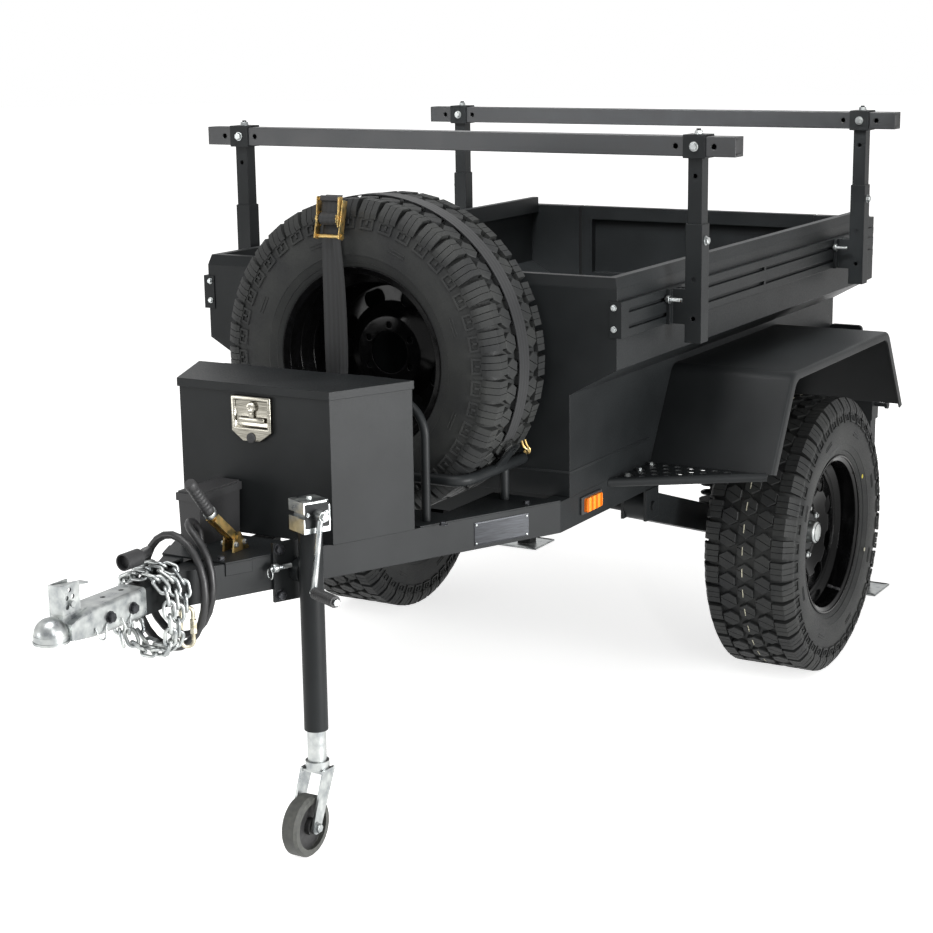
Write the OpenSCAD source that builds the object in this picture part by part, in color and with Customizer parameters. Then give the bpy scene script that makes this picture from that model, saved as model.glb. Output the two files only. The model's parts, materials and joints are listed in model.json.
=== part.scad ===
// Single-axle off-road cargo trailer, parked on its jockey wheel and rear drop legs.
// Lengths in millimetres. Front is -Y, left is +X, the ground is Z = 0.
// Working values are measured from the tub's front face; in_frame() centres the whole.

/* [Tub] */
// Length of the load tub
tub_len = 1910; // [1800:10:2200]
// Outer width of the tub between the wheels
tub_low_w = 980; // [900:10:1060]
// How far the tub's upper side stands out over the wheels
ledge_w = 130; // [110:5:150]
// Height of the tub's top edge above the ground
tub_top_z = 1235; // [1200:5:1260]
// Height of the upright upper side
side_drop = 200; // [180:5:220]
// Rise of the sloped step in the side
slope_h = 72; // [50:2:90]
// Thickness of the body sheet
sheet = 3; // [2:0.5:5]
// Width of the top rim
rim_w = 30; // [24:1:50]
// Height of the top rim's leaning lip
lip_h = 27; // [15:1:35]
// Depth of the rear corner pillars
pillar_d = 40; // [36:1:60]
// Width of a pillar between the tub's low side and the tailgate
pillar_w = 60; // [45:1:90]
// Thickness of the tailgate
gate_t = 28; // [20:1:32]

/* [Chassis] */
// Height of the rails' top face above the ground
rail_top_z = 700; // [690:5:720]
// Height of the rails
rail_h = 80; // [70:2:90]
// Width of the rails
rail_w = 50; // [40:1:60]
// Wall thickness of the rails
rail_wall = 4; // [3:0.5:6]
// Half angle of the drawbar
drawbar_angle = 25.3; // [24.8:0.1:25.8]
// Width of the square tongue tube
tongue_w = 60; // [50:1:66]
// Distance from the tub to the tongue tube's front end
tongue_reach = 1270; // [1250:5:1300]
// Distance from the tub to the coupler's nose
nose_reach = 1425; // [1410:5:1450]

/* [Wheels] */
// Distance from the tub's front to the axle line
axle_y = 1030; // [980:5:1080]
// Outer radius of the tyre over the lugs
tyre_r = 401; // [390:1:405]
// Section width of the tyre
tyre_w = 272; // [260:2:276]
// Radius of the rim's flange
flange_r = 233; // [228:1:238]
// Overall width of the rim
rim_width = 228; // [216:2:236]
// Gap between a tyre and the tub's low side
wheel_gap = 82; // [70:1:95]
// Lugs on each shoulder of a tyre
lug_n = 40; // [32:1:48]
// Depth of the grooves between the lugs
lug_depth = 12; // [8:1:14]

/* [Fenders] */
// Width of a fender
fender_w = 354; // [340:2:380]
// Height of the fender's top
fender_z = 945; // [935:1:955]
// Thickness of the fender sheet
fender_t = 4; // [3:0.5:6]
// Depth of the fender's outer lip
fender_lip = 18; // [10:1:30]

/* [Rack] */
// Length of a rack bar
bar_len = 1620; // [1560:10:1700]
// Square size of a rack bar
bar_s = 50; // [40:1:55]
// Wall thickness of bars and posts
bar_wall = 3; // [2:0.5:4]
// Height of the bars' centre line
bar_z = 1564; // [1500:2:1640]
// Distance from the tub's front to the front posts
post_front_y = 300; // [250:5:360]
// Distance from the tub's front to the rear posts
post_rear_y = 1535; // [1480:5:1600]
// Distance of the posts' centre line from the tub's upper side
post_off = 80; // [70:1:100]
// Square size of the lower post
post_s = 45; // [42:1:50]

/* [Tool box] */
// Distance from the tub to the box's front
box_front = 659; // [650:1:668]
// Depth of the box
box_depth = 208; // [190:1:220]
// Width of the box's front
box_front_w = 428; // [410:2:440]
// Width of the box's back
box_back_w = 616; // [590:2:630]
// Height of the lid's top above the ground
box_top_z = 1061; // [1040:1:1080]
// Thickness of the box sheet
box_sheet = 3; // [2:0.5:4]
// Depth of the lid's lip
lid_lip = 20; // [14:1:26]

/* [Spare wheel] */
// Sideways place of the spare wheel
spare_x = 40; // [30:1:50]
// Height of the spare wheel's centre
spare_z = 1058; // [1050:1:1070]
// Gap between the spare wheel and the tub
spare_gap = 12; // [8:1:20]
// Radius of the cradle tube
cradle_r = 14; // [10:1:16]
// Height of the cradle tube's centre line
cradle_z = 790; // [780:1:800]

/* [Jockey wheel] */
// Distance of the jack's axis from the drawbar rail's outer face
jack_off = 66; // [64:1:75]
// Distance from the tub to the jack's axis
jack_y = 766; // [750:1:775]
// Outer radius of the jack's outer tube
jack_r = 28; // [27:0.5:29]
// Outer radius of the jack's inner tube
jack_inner_r = 22; // [20:0.5:23]
// Radius of the jockey wheel
caster_r = 72; // [68:1:75]
// Width of the jockey wheel
caster_w = 44; // [36:1:46]
// Distance of the jockey wheel's axle from the jack's axis
caster_trail = 56; // [50:1:58]

/* [Rear legs] */
// Distance of the legs from the tub's low side
leg_off = 145; // [138:1:155]
// Distance from the tub's rear end to the legs
leg_inset = 60; // [50:1:70]
// Square size of a leg
leg_s = 50; // [44:1:55]
// Height of a leg
leg_h = 690; // [660:5:700]
// Size of a leg's foot plate
foot_s = 150; // [120:5:160]

/* [Safety chain and cable] */
// Wire diameter of a chain link
wire_d = 8.5; // [7:0.1:8.6]
// Inner length of a chain link
link_len = 32; // [31.5:0.1:33]
// Inner width of a chain link
link_w = 15; // [14.5:0.1:16]
// Radius of the trailer cable
cable_r = 9; // [6:0.5:10]

/* [Hidden] */
$fn = 64;
tiny = 0.3;
running = 0.05;
half_low = tub_low_w / 2;
half_top = half_low + ledge_w;
gate_w = tub_low_w - 2 * pillar_w;
knee_z = tub_top_z - side_drop;
waist_z = knee_z - slope_h;
rail_bot_z = rail_top_z - rail_h;
rail_mid_z = rail_top_z - rail_h / 2;
floor_z = rail_top_z;
slope_a = atan2(slope_h, ledge_w);
miter = sheet * (1 - sin(slope_a)) / cos(slope_a);

// Tailgate hinge
hinge_r = 8;
hinge_pin_r = 4;
hinge_gap = 6;
sill_h = 40;
hinge_y = tub_len + hinge_r;
hinge_z = floor_z + sill_h;
hinge_x = gate_w / 3;
knuckle_w = 40;
knuckle_gap = 1;
leaf_h = 50;
leaf_t = 3;

rear_reach = tub_len + 2 * hinge_r;
y_shift = (nose_reach - rear_reach) / 2;

// Drawbar
bend_y = -50;
bend_x = half_low;
tip_x = tongue_w / 2;
drawbar_len = (bend_x - tip_x) / sin(drawbar_angle);
function rail_x(y) = bend_x + (y - bend_y) * tan(drawbar_angle);

// Wheels
wheel_x = half_low + wheel_gap + tyre_w / 2;
axle_z = tyre_r;
disc_in = 30;

// Jack
jack_x = rail_x(-jack_y) + jack_off / cos(drawbar_angle);
jack_pivot_z = rail_mid_z;

// Spare wheel
spare_y = -spare_gap - tyre_w / 2;
cradle_half = sqrt(pow(tyre_r + cradle_r + tiny, 2) - pow(spare_z - cradle_z, 2));
cradle_room = 8;
cradle_front = spare_y - tyre_w / 2 - cradle_r - cradle_room;

// Moves a piece from tub measurements to the part's own frame.
module in_frame() translate([0, y_shift, 0]) children();

// Makes a piece and its mirror image across the centre line.
module both_sides() {
  children();
  mirror([1, 0, 0]) children();
}

// A box given by its lowest and highest corners.
module span(low, high) translate(low) cube(high - low);

// A square ring, for tubes.
module tube_section(w, h, wall) difference() {
  square([w, h], center = true);
  square([w - 2 * wall, h - 2 * wall], center = true);
}

// A rectangle with round corners, centred.
module round_square(w, h, r) offset(r = r, $fn = 32) square([w - 2 * r, h - 2 * r], center = true);

// A square tube along Y, open at both ends.
module tube_y(w, h, len, wall) rotate([-90, 0, 0]) linear_extrude(len) tube_section(w, h, wall);

// A square tube along Z, open at both ends.
module tube_z(s, len, wall) linear_extrude(len) tube_section(s, s, wall);

// A round bar between two points.
module rod(a, b, r) {
  d = b - a;
  len = norm(d);
  translate(a) rotate([0, acos(d.z / len), atan2(d.y, d.x)]) cylinder(h = len, r = r);
}

// A round bar along X that starts at the given point.
module pin_x(at, len, r) translate(at) rotate([0, 90, 0]) cylinder(h = len, r = r);

// A round bar along X, centred on x = 0, at (y, z).
module bar_x(y, z, len, r) pin_x([-len / 2, y, z], len, r);

// Stands an XZ outline up and gives it a depth along Y from y0.
module along_y(y0, len) translate([0, y0 + len, 0]) rotate([90, 0, 0]) linear_extrude(len) children();

// Stands a (y, z) outline up and gives it a depth along X from x0.
module along_x(x0, len) translate([x0, 0, 0]) rotate([90, 0, 90]) linear_extrude(len) children();

// A quarter bend of a round tube in the XY plane: centre, bend radius, start angle.
module tube_bend(at, bend, r, from) translate(at) rotate([0, 0, from])
  rotate_extrude(angle = 90) translate([bend, 0]) circle(r = r);

// A bent tube swept along a list of points; ref must never lie along the route.
function tangent(p, i) =
  let (a = p[max(i - 1, 0)], b = p[min(i + 1, len(p) - 1)], d = b - a) d / norm(d);
function ring(p, i, r, sides, ref) =
  let (t = tangent(p, i), c = cross(t, ref), n = c / norm(c), b = cross(t, n))
  [for (k = [0 : sides - 1]) p[i] + r * (cos(360 * k / sides) * n + sin(360 * k / sides) * b)];
module swept_tube(p, r, sides, ref) {
  n = len(p);
  points = [for (i = [0 : n - 1]) each ring(p, i, r, sides, ref)];
  walls = [for (i = [0 : n - 2], k = [0 : sides - 1]) let (
      a = i * sides + k, b = i * sides + (k + 1) % sides, c = a + sides, d = b + sides
    ) each [[a, c, b], [b, c, d]]];
  first_cap = [for (k = [0 : sides - 1]) k];
  last_cap = [for (k = [0 : sides - 1]) n * sides - 1 - k];
  polyhedron(points, concat(walls, [first_cap], [last_cap]));
}

// The drawbar rail's own frame: X points out of the rail's outer face, Y runs back along it.
module on_rail(y) translate([rail_x(y), y, 0]) rotate([0, 0, -drawbar_angle]) children();

module side_rails() color("#1c1d1e") in_frame() both_sides()
  translate([half_low - rail_w / 2, bend_y, rail_mid_z])
    tube_y(rail_w, rail_h, tub_len - bend_y - pillar_d / 2, rail_wall);

module drawbar_rails() color("#1c1d1e") in_frame() both_sides() difference() {
  on_rail(bend_y) translate([-rail_w / 2, -drawbar_len - rail_w, rail_mid_z])
    tube_y(rail_w, rail_h, drawbar_len + 2 * rail_w, rail_wall);
  span([-rail_h, bend_y, 0], [bend_x + rail_w, bend_y + 2 * rail_w, tub_top_z]);
  span([-bend_x, -nose_reach, 0], [tip_x, bend_y + rail_w, tub_top_z]);
}

// Trailing arm: a box arm from its pivot under the rail back to the axle
arm_len = 540;
arm_w = 60;
arm_h = 80;
arm_drop = 50;
arm_inset = 10;
arm_x = half_low - rail_w / 2 - arm_inset;
arm_pivot_y = axle_y - arm_len;
arm_pivot_z = rail_bot_z - arm_drop;

front_cross = 20;
rear_cross = 200;
cross_y = [front_cross, arm_pivot_y, axle_y + rear_cross, tub_len - pillar_d - rail_w];
module cross_members() color("#1c1d1e") in_frame() for (y = cross_y)
  along_x(-half_low + rail_w, tub_low_w - 2 * rail_w) translate([y + rail_w / 2, rail_mid_z])
    tube_section(rail_w, rail_h, rail_wall);

module tongue_tube() color("#1c1d1e") in_frame()
  translate([0, -tongue_reach, rail_mid_z])
    tube_y(tongue_w, tongue_w, tongue_reach - box_front + rail_w, rail_wall);

// Deck sheet under the spare wheel, with a cut for the tyre, and a saddle sheet further forward
deck_t = 4;
deck_front = 430;
deck_cut_side = 60;
deck_cut_room = 12;
saddle_front = 905;
saddle_back = 690;
saddle_flange = 28;
saddle_flange_len = 70;
saddle_tab = 12;
deck_z = rail_top_z + deck_t;
gland_at = [-8, -868, deck_z];
gland_r = 14;
gland_h = 22;
module deck_plan(front, back) polygon([
  [rail_x(front), front], [rail_x(back), back], [-rail_x(back), back], [-rail_x(front), front]
]);

module drawbar_deck() color("#202122") in_frame() {
  main_deck();
  translate([0, 0, rail_top_z]) linear_extrude(deck_t) {
    deck_plan(-saddle_front, -saddle_back);
    both_sides() on_rail(-saddle_front) translate([-saddle_tab, 0])
      square([saddle_tab + deck_t, saddle_flange_len]);
  }
  both_sides() on_rail(-saddle_front)
    span([0, 1, rail_top_z - saddle_flange], [deck_t - 1, saddle_flange_len - 1, rail_top_z + 1]);
  translate(gland_at - [0, 0, 1]) cylinder(h = gland_h + 1, r = gland_r);
}

module main_deck() difference() {
  translate([0, 0, rail_top_z]) linear_extrude(deck_t) deck_plan(-deck_front, bend_y);
  span([spare_x - cradle_half + deck_cut_side, spare_y - tyre_w / 2 - deck_cut_room, rail_bot_z],
    [spare_x + cradle_half - deck_cut_side, spare_gap, tub_top_z]);
}

// Pressed ball coupler: dome over the ball, tapered throat and a channel over the tongue tube
coupler_ball_r = 25.4;
coupler_skirt = 18;
coupler_wall = 5;
coupler_r = coupler_ball_r + 2 * coupler_wall;
coupler_foot = 3;
coupler_cover = 150;
coupler_throat = 20;
coupler_w = tongue_w + 2 * coupler_wall + 2 * tiny;
coupler_h = tongue_w + coupler_wall + tiny;
coupler_edge = 9;
coupler_nose_y = -nose_reach + coupler_r + coupler_foot;
coupler_rear_y = -tongue_reach + coupler_cover;
throat_y = -tongue_reach - coupler_throat;
slot_r = 6;
coupler_slots = [50, 110];
module coupler_profile() translate([0, rail_mid_z - tongue_w / 2 + coupler_h / 2])
  round_square(coupler_w, coupler_h, coupler_edge);

module coupler() color("#b9bcbc") in_frame() difference() {
  union() {
    translate([0, coupler_nose_y, rail_mid_z]) {
      sphere(r = coupler_r);
      translate([0, 0, -coupler_skirt]) cylinder(h = coupler_skirt, r = coupler_r + 1);
      translate([0, 0, -coupler_skirt]) cylinder(h = coupler_wall, r = coupler_r + coupler_foot);
    }
    hull() {
      translate([-coupler_r, coupler_nose_y + coupler_ball_r, rail_mid_z - coupler_skirt])
        cube([2 * coupler_r, 1, coupler_r]);
      along_y(throat_y, 1) coupler_profile();
    }
    along_y(throat_y, coupler_rear_y - throat_y) coupler_profile();
    span([-latch_w / 2, latch_y - latch_t, rail_mid_z], [latch_w / 2, throat_y + 1, latch_z - tiny]);
  }
  span([-nose_reach, -2 * nose_reach, 0],
    [nose_reach, coupler_nose_y + coupler_r, rail_mid_z - coupler_skirt]);
  translate([0, coupler_nose_y, rail_mid_z]) sphere(r = coupler_ball_r);
  translate([0, coupler_nose_y, rail_mid_z - coupler_r]) cylinder(h = coupler_r, r = coupler_ball_r);
  span([-tongue_w / 2 - tiny, -tongue_reach - tiny, rail_bot_z - rail_h],
    [tongue_w / 2 + tiny, 0, rail_mid_z + tongue_w / 2 + tiny]);
  for (d = coupler_slots) translate([0, -tongue_reach + d, rail_mid_z]) cylinder(h = tongue_w, r = slot_r);
}

// Latch: a pierced upright bracket behind the dome, with its lever leaning back
latch_w = 36;
latch_t = 4;
latch_len = 52;
latch_h = 62;
latch_y = coupler_nose_y + coupler_ball_r - latch_t / 2;
latch_z = rail_mid_z + coupler_h - tongue_w / 2 + tiny;
latch_hole_r = 5;
latch_holes = [[12, 14], [30, 14], [12, 34], [30, 34], [21, 50]];
lever_len = 92;
lever_a = -7;
lever_w = 22;
module latch_cheek() along_x(0, latch_t) difference() {
  translate([latch_y - latch_t, latch_z]) square([latch_len + latch_t, latch_h]);
  for (h = latch_holes) translate([latch_y + h.x, latch_z + h.y]) circle(r = latch_hole_r);
}
module coupler_latch() color("#b9bcbc") in_frame() {
  for (x = [-latch_w / 2, latch_w / 2 - latch_t]) translate([x, 0, 0]) latch_cheek();
  span([-latch_w / 2, latch_y - latch_t, latch_z], [latch_w / 2, latch_y, latch_z + latch_h]);
  translate([0, latch_y - latch_t, latch_z + latch_h - latch_t]) rotate([lever_a, 0, 0])
    translate([-lever_w / 2, 0, 0]) cube([lever_w, lever_len, latch_t]);
}

// Trapezoid in plan, grown outwards by g on the front and the slanted sides.
module box_plan(g) {
  s = (box_back_w - box_front_w) / 2 / box_depth;
  w = g * sqrt(1 + s * s);
  f = box_front_w / 2 + w - g * s;
  b = box_back_w / 2 + w;
  polygon([
    [-f, -box_front - g], [f, -box_front - g], [b, -box_front + box_depth], [-b, -box_front + box_depth]
  ]);
}

// Tool box and its hinged lid
lid_gap = 2;
lid_t = 3;
box_bot_z = rail_top_z;
box_rim_z = box_top_z - lid_t - tiny;
lid_hinge_r = 6;
lid_pin_r = 3;
lid_knuckle = 40;
lid_hinge_x = 180;
lid_axis_y = -box_front + box_depth + lid_hinge_r + 2;
lid_axis_z = box_top_z - lid_hinge_r - 1;
module lid_hinge_places() for (s = [-1, 1]) translate([s * lid_hinge_x, 0, 0]) children();

module box_hinge() lid_hinge_places() {
  bar_x(lid_axis_y, lid_axis_z, 3 * lid_knuckle, lid_pin_r);
  for (t = [-1, 1]) translate([t * (lid_knuckle + knuckle_gap), 0, 0]) {
    bar_x(lid_axis_y, lid_axis_z, lid_knuckle, lid_hinge_r);
    span([-lid_knuckle / 2, -box_front + box_depth, lid_axis_z - leaf_h],
      [lid_knuckle / 2, lid_axis_y, lid_axis_z - lid_hinge_r + leaf_t]);
  }
}

module box_shell() difference() {
  translate([0, 0, box_bot_z]) linear_extrude(box_rim_z - box_bot_z) box_plan(0);
  translate([0, 0, box_bot_z + box_sheet]) linear_extrude(tub_top_z) intersection() {
    box_plan(-box_sheet);
    translate([-box_back_w, -box_front]) square([2 * box_back_w, box_depth - box_sheet]);
  }
}

module tool_box() color("#1b1c1d") in_frame() {
  box_shell();
  box_hinge();
}

module tool_box_lid() color("#1b1c1d") in_frame() {
  difference() {
    translate([0, 0, box_top_z - lid_lip]) linear_extrude(lid_lip) box_plan(lid_gap + box_sheet);
    linear_extrude(box_top_z - lid_t) box_plan(lid_gap);
  }
  lid_hinge_places() difference() {
    union() {
      bar_x(lid_axis_y, lid_axis_z, lid_knuckle, lid_hinge_r);
      span([-lid_knuckle / 2, -box_front + box_depth - 1, box_top_z - lid_t],
        [lid_knuckle / 2, lid_axis_y, box_top_z]);
    }
    bar_x(lid_axis_y, lid_axis_z, 2 * lid_knuckle, lid_pin_r + running);
  }
}

// Folding T-handle latch: a plate with a pointed foot, a dished pocket and the handle in it
box_latch_w = 114;
box_latch_h = 86;
box_latch_foot = 24;
box_latch_foot_w = 50;
box_latch_z = 992;
box_latch_t = 12;
box_latch_r = 6;
pocket_w = 84;
pocket_h = 60;
pocket_d = 9;
handle_w = 60;
handle_h = 11;
spindle_r = 12;
module latch_outline() offset(r = box_latch_r, $fn = 32) offset(delta = -box_latch_r) polygon([
  [-box_latch_w / 2, box_latch_h / 2], [box_latch_w / 2, box_latch_h / 2],
  [box_latch_w / 2, -box_latch_h / 2],
  [box_latch_foot_w / 2, -box_latch_h / 2 - box_latch_foot],
  [-box_latch_foot_w / 2, -box_latch_h / 2 - box_latch_foot], [-box_latch_w / 2, -box_latch_h / 2]
]);
module on_box_front() in_frame() translate([0, -box_front, box_latch_z]) rotate([90, 0, 0]) children();
module tool_box_latch() color("#c9cac8") on_box_front() {
  pocket_z = box_latch_t - pocket_d;
  difference() {
    linear_extrude(box_latch_t) latch_outline();
    translate([0, 0, pocket_z]) linear_extrude(box_latch_t) round_square(pocket_w, pocket_h, box_latch_r);
  }
  cylinder(h = box_latch_t, r = spindle_r);
  translate([-handle_w / 2, -handle_h / 2, pocket_z - 1]) cube([handle_w, handle_h, pocket_d]);
  translate([-handle_h / 2, -pocket_h / 2, pocket_z - 1]) cube([handle_h, pocket_h / 2, pocket_d]);
}

// Breakaway battery box: tapered body under an overhanging lid
battery_w = 70;
battery_len = 160;
battery_h = 128;
battery_x = -70;
battery_front = 828;
battery_taper = 4;
battery_lid_h = 22;
battery_lid_over = 4;
module battery_box() color("#202122") in_frame() translate([battery_x, 0, deck_z]) {
  half = battery_w / 2;
  neck = half - battery_lid_over;
  under = battery_h - battery_lid_h;
  back = -battery_front + battery_len;
  along_y(-battery_front + battery_lid_over, battery_len - 2 * battery_lid_over)
    polygon([[-neck + battery_taper, 0], [neck - battery_taper, 0], [neck, under + 1], [-neck, under + 1]]);
  span([-half, -battery_front, under], [half, back, battery_h - battery_lid_over]);
  span([-neck, -battery_front + battery_lid_over, under], [neck, back - battery_lid_over, battery_h]);
}

// Handbrake: a two-cheek bracket, flat links and a sleeved lever that leans forward
brake_x = 40;
brake_gap = 10;
brake_t = 5;
brake_base = [-830, -770];
brake_ear = 44;
brake_low = [-812, 736];
brake_mid = [-876, 792];
brake_top = [-960, 894];
brake_grip_r = 11;
brake_pin_r = 6;
module brake_cheek(x) along_x(x - brake_t / 2, brake_t) polygon([
  [brake_base[0], deck_z], [brake_base[1], deck_z], [brake_low.x + brake_gap, deck_z + brake_ear],
  [brake_low.x - brake_gap, deck_z + brake_ear]
]);
module brake_link(x) translate([x - brake_t / 2, brake_low.x, brake_low.y])
  rotate([atan2(brake_mid.y - brake_low.y, brake_mid.x - brake_low.x), 0, 0])
    translate([0, -brake_gap, -brake_gap])
      cube([brake_t, norm(brake_mid - brake_low) + 2 * brake_gap, 2 * brake_gap]);
module handbrake_lever() color("#b79a4a") in_frame() {
  for (s = [-1, 1]) brake_cheek(brake_x + s * (brake_gap + brake_t - 1));
  for (s = [-1, 1]) brake_link(brake_x + s * brake_gap);
  pin_x([brake_x - 2 * brake_gap, brake_low.x, brake_low.y], 4 * brake_gap, brake_pin_r);
  rod([brake_x, brake_mid.x, brake_mid.y], [brake_x, brake_top.x, brake_top.y], brake_grip_r);
}

// The tub's half section, outside line first and then the inside line.
module side_section() polygon([
  [half_low, floor_z], [half_low, waist_z], [half_top, knee_z], [half_top, tub_top_z],
  [half_top - sheet, tub_top_z], [half_top - sheet, knee_z + miter],
  [half_low - sheet, waist_z + miter], [half_low - sheet, floor_z]
]);

// The tub's whole outline seen from the front.
module end_outline() polygon([
  [half_low, floor_z], [half_low, waist_z], [half_top, knee_z], [half_top, tub_top_z],
  [-half_top, tub_top_z], [-half_top, knee_z], [-half_low, waist_z], [-half_low, floor_z]
]);

module tub_front() color("#1c1d1e") in_frame() along_y(0, sheet) end_outline();
module tub_side() along_y(sheet, tub_len - pillar_d - sheet) side_section();
module tub_left() color("#1c1d1e") in_frame() tub_side();
module tub_right() color("#1c1d1e") in_frame() mirror([1, 0, 0]) tub_side();
module tub_floor() color("#1c1d1e") in_frame()
  span([-half_low + sheet, sheet, floor_z], [half_low - sheet, tub_len - pillar_d, floor_z + sheet]);

// Top rim: a leaning lip on the front and both sides, with the box section behind the sheet
lip_lean = 8;
rim_drop = 26;
module rim_profile() polygon([
  [0, 0], [-lip_lean, lip_h], [-rim_w, lip_h], [-rim_w, -rim_drop], [-sheet, -rim_drop], [-sheet, 0]
]);
module rim_end_outline() {
  low = tub_top_z - rim_drop;
  high = tub_top_z + lip_h;
  polygon([
    [-half_top, tub_top_z], [-half_top + lip_lean, high], [half_top - lip_lean, high], [half_top, tub_top_z],
    [half_top - sheet, tub_top_z], [half_top - sheet, low],
    [-half_top + sheet, low], [-half_top + sheet, tub_top_z]
  ]);
}
module top_rim() color("#222324") in_frame() {
  both_sides() along_y(rim_w, tub_len - pillar_d - rim_w) translate([half_top, tub_top_z]) rim_profile();
  intersection() {
    along_x(-half_top, 2 * half_top) translate([0, tub_top_z]) mirror([1, 0]) rim_profile();
    along_y(0, rim_w) rim_end_outline();
  }
}

// Rear frame: pillars and sill round the tailgate, with a lamp bracket on each side
lamp_w = 110;
lamp_h = 100;
lamp_d = 14;
lamp_back = 14;
lamp_top_z = 880;
lamp_r = 14;
module lamp_outline() translate([half_low + lamp_w / 2, lamp_top_z - lamp_h / 2])
  round_square(lamp_w, lamp_h, lamp_r);
module rear_frame() color("#1c1d1e") in_frame() {
  difference() {
    along_y(tub_len - pillar_d, pillar_d) end_outline();
    span([-gate_w / 2, 0, hinge_z], [gate_w / 2, tub_len + pillar_d, tub_top_z + lip_h]);
  }
  both_sides() along_y(tub_len - lamp_d - lamp_back, lamp_back) lamp_outline();
}

lens_edge = 6;
module tail_lamps() color("#7a1414") in_frame() both_sides()
  along_y(tub_len - lamp_d, lamp_d) offset(delta = -lens_edge) lamp_outline();

// Tailgate: an outer sheet on a welded frame with one cross rib
gate_frame = 45;
gate_rib = 30;
module gate_pocket(z0, z1)
  span([-gate_w / 2 + gate_frame, 0, z0], [gate_w / 2 - gate_frame, tub_len - sheet, z1]);
module tailgate() color("#1c1d1e") in_frame() {
  gate_low = hinge_z + hinge_gap;
  gate_mid = (gate_low + tub_top_z) / 2;
  difference() {
    span([-gate_w / 2 + hinge_gap, tub_len - gate_t, gate_low], [gate_w / 2 - hinge_gap, tub_len, tub_top_z]);
    gate_pocket(gate_low + gate_frame, gate_mid - gate_rib / 2);
    gate_pocket(gate_mid + gate_rib / 2, tub_top_z - gate_frame);
  }
  for (s = [-1, 1]) difference() {
    union() {
      pin_x([s * hinge_x - knuckle_w / 2, hinge_y, hinge_z], knuckle_w, hinge_r);
      span([s * hinge_x - knuckle_w / 2, tub_len, hinge_z],
        [s * hinge_x + knuckle_w / 2, tub_len + leaf_t, hinge_z + leaf_h]);
    }
    pin_x([s * hinge_x - knuckle_w, hinge_y, hinge_z], 2 * knuckle_w, hinge_pin_r + running);
  }
}

module gate_hinges() color("#1c1d1e") in_frame() for (s = [-1, 1]) {
  pin_x([s * hinge_x - 1.5 * knuckle_w, hinge_y, hinge_z], 3 * knuckle_w, hinge_pin_r);
  for (t = [-1, 1]) translate([s * hinge_x + t * (knuckle_w + knuckle_gap), 0, 0]) {
    pin_x([-knuckle_w / 2, hinge_y, hinge_z], knuckle_w, hinge_r);
    span([-knuckle_w / 2, tub_len, hinge_z - sill_h + leaf_t], [knuckle_w / 2, tub_len + leaf_t, hinge_z]);
  }
}

// Slotted side tracks in two lengths, with a plate folded round the tub's front corner
track_low = 120;
track_high = 30;
track_low_z = tub_top_z - track_low;
track_high_z = tub_top_z - track_high;
track_t = 14;
track_front = 0;
track_rear = 40;
track_break_y = 940;
track_break = 12;
slot_h = 16;
slot_d = 9;
lip_slot_h = 10;
lip_slot_d = 4;
slot_drop = [55, 95];
corner_plate_w = 20;
module side_tracks() color("#191a1b") in_frame() both_sides() {
  difference() {
    span([half_top, track_front, track_low_z], [half_top + track_t, tub_len - track_rear, track_high_z]);
    for (d = slot_drop) translate([half_top + track_t, 0, tub_top_z - d]) {
      track_slot(2 * corner_plate_w, track_break_y - track_break);
      track_slot(track_break_y, tub_len);
    }
  }
  span([half_top - corner_plate_w, -sheet, track_low_z], [half_top + track_t, 0, track_high_z]);
}
module track_slot(from, to) {
  span([-lip_slot_d, from, -lip_slot_h / 2], [lip_slot_d, to, lip_slot_h / 2]);
  span([-slot_d, from, -slot_h / 2], [-lip_slot_d, to, slot_h / 2]);
}

// The fender's side outline, with rounded bends, in (y, z)
fender_foot = 550;
fender_top = 405;
fender_rear_cut = 10;
fender_below = 240;
fender_flare = 150;
fender_foot_z = rail_top_z - 5;
fender_bend = 45;
module fender_outline(inset) {
  offset(r = fender_bend) offset(delta = -fender_bend - inset) polygon([
    [axle_y - fender_foot, fender_foot_z], [axle_y - fender_top, fender_z],
    [axle_y + fender_top - fender_rear_cut, fender_z], [axle_y + fender_foot, fender_foot_z],
    [axle_y + fender_foot + fender_flare, fender_foot_z - fender_below],
    [axle_y - fender_foot - fender_flare, fender_foot_z - fender_below]
  ]);
}

module above_foot() intersection() {
  children();
  span([0, axle_y - 2 * fender_foot, fender_foot_z], [2 * half_top, axle_y + 2 * fender_foot, tub_top_z]);
}

module fender() above_foot() {
  along_x(half_low, fender_w) difference() {
    fender_outline(0);
    fender_outline(fender_t);
  }
  along_x(half_low + fender_w - fender_t, fender_t) difference() {
    fender_outline(0);
    fender_outline(fender_lip);
  }
}
module left_fender() color("#252627") in_frame() fender();
module right_fender() color("#252627") in_frame() mirror([1, 0, 0]) fender();

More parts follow.
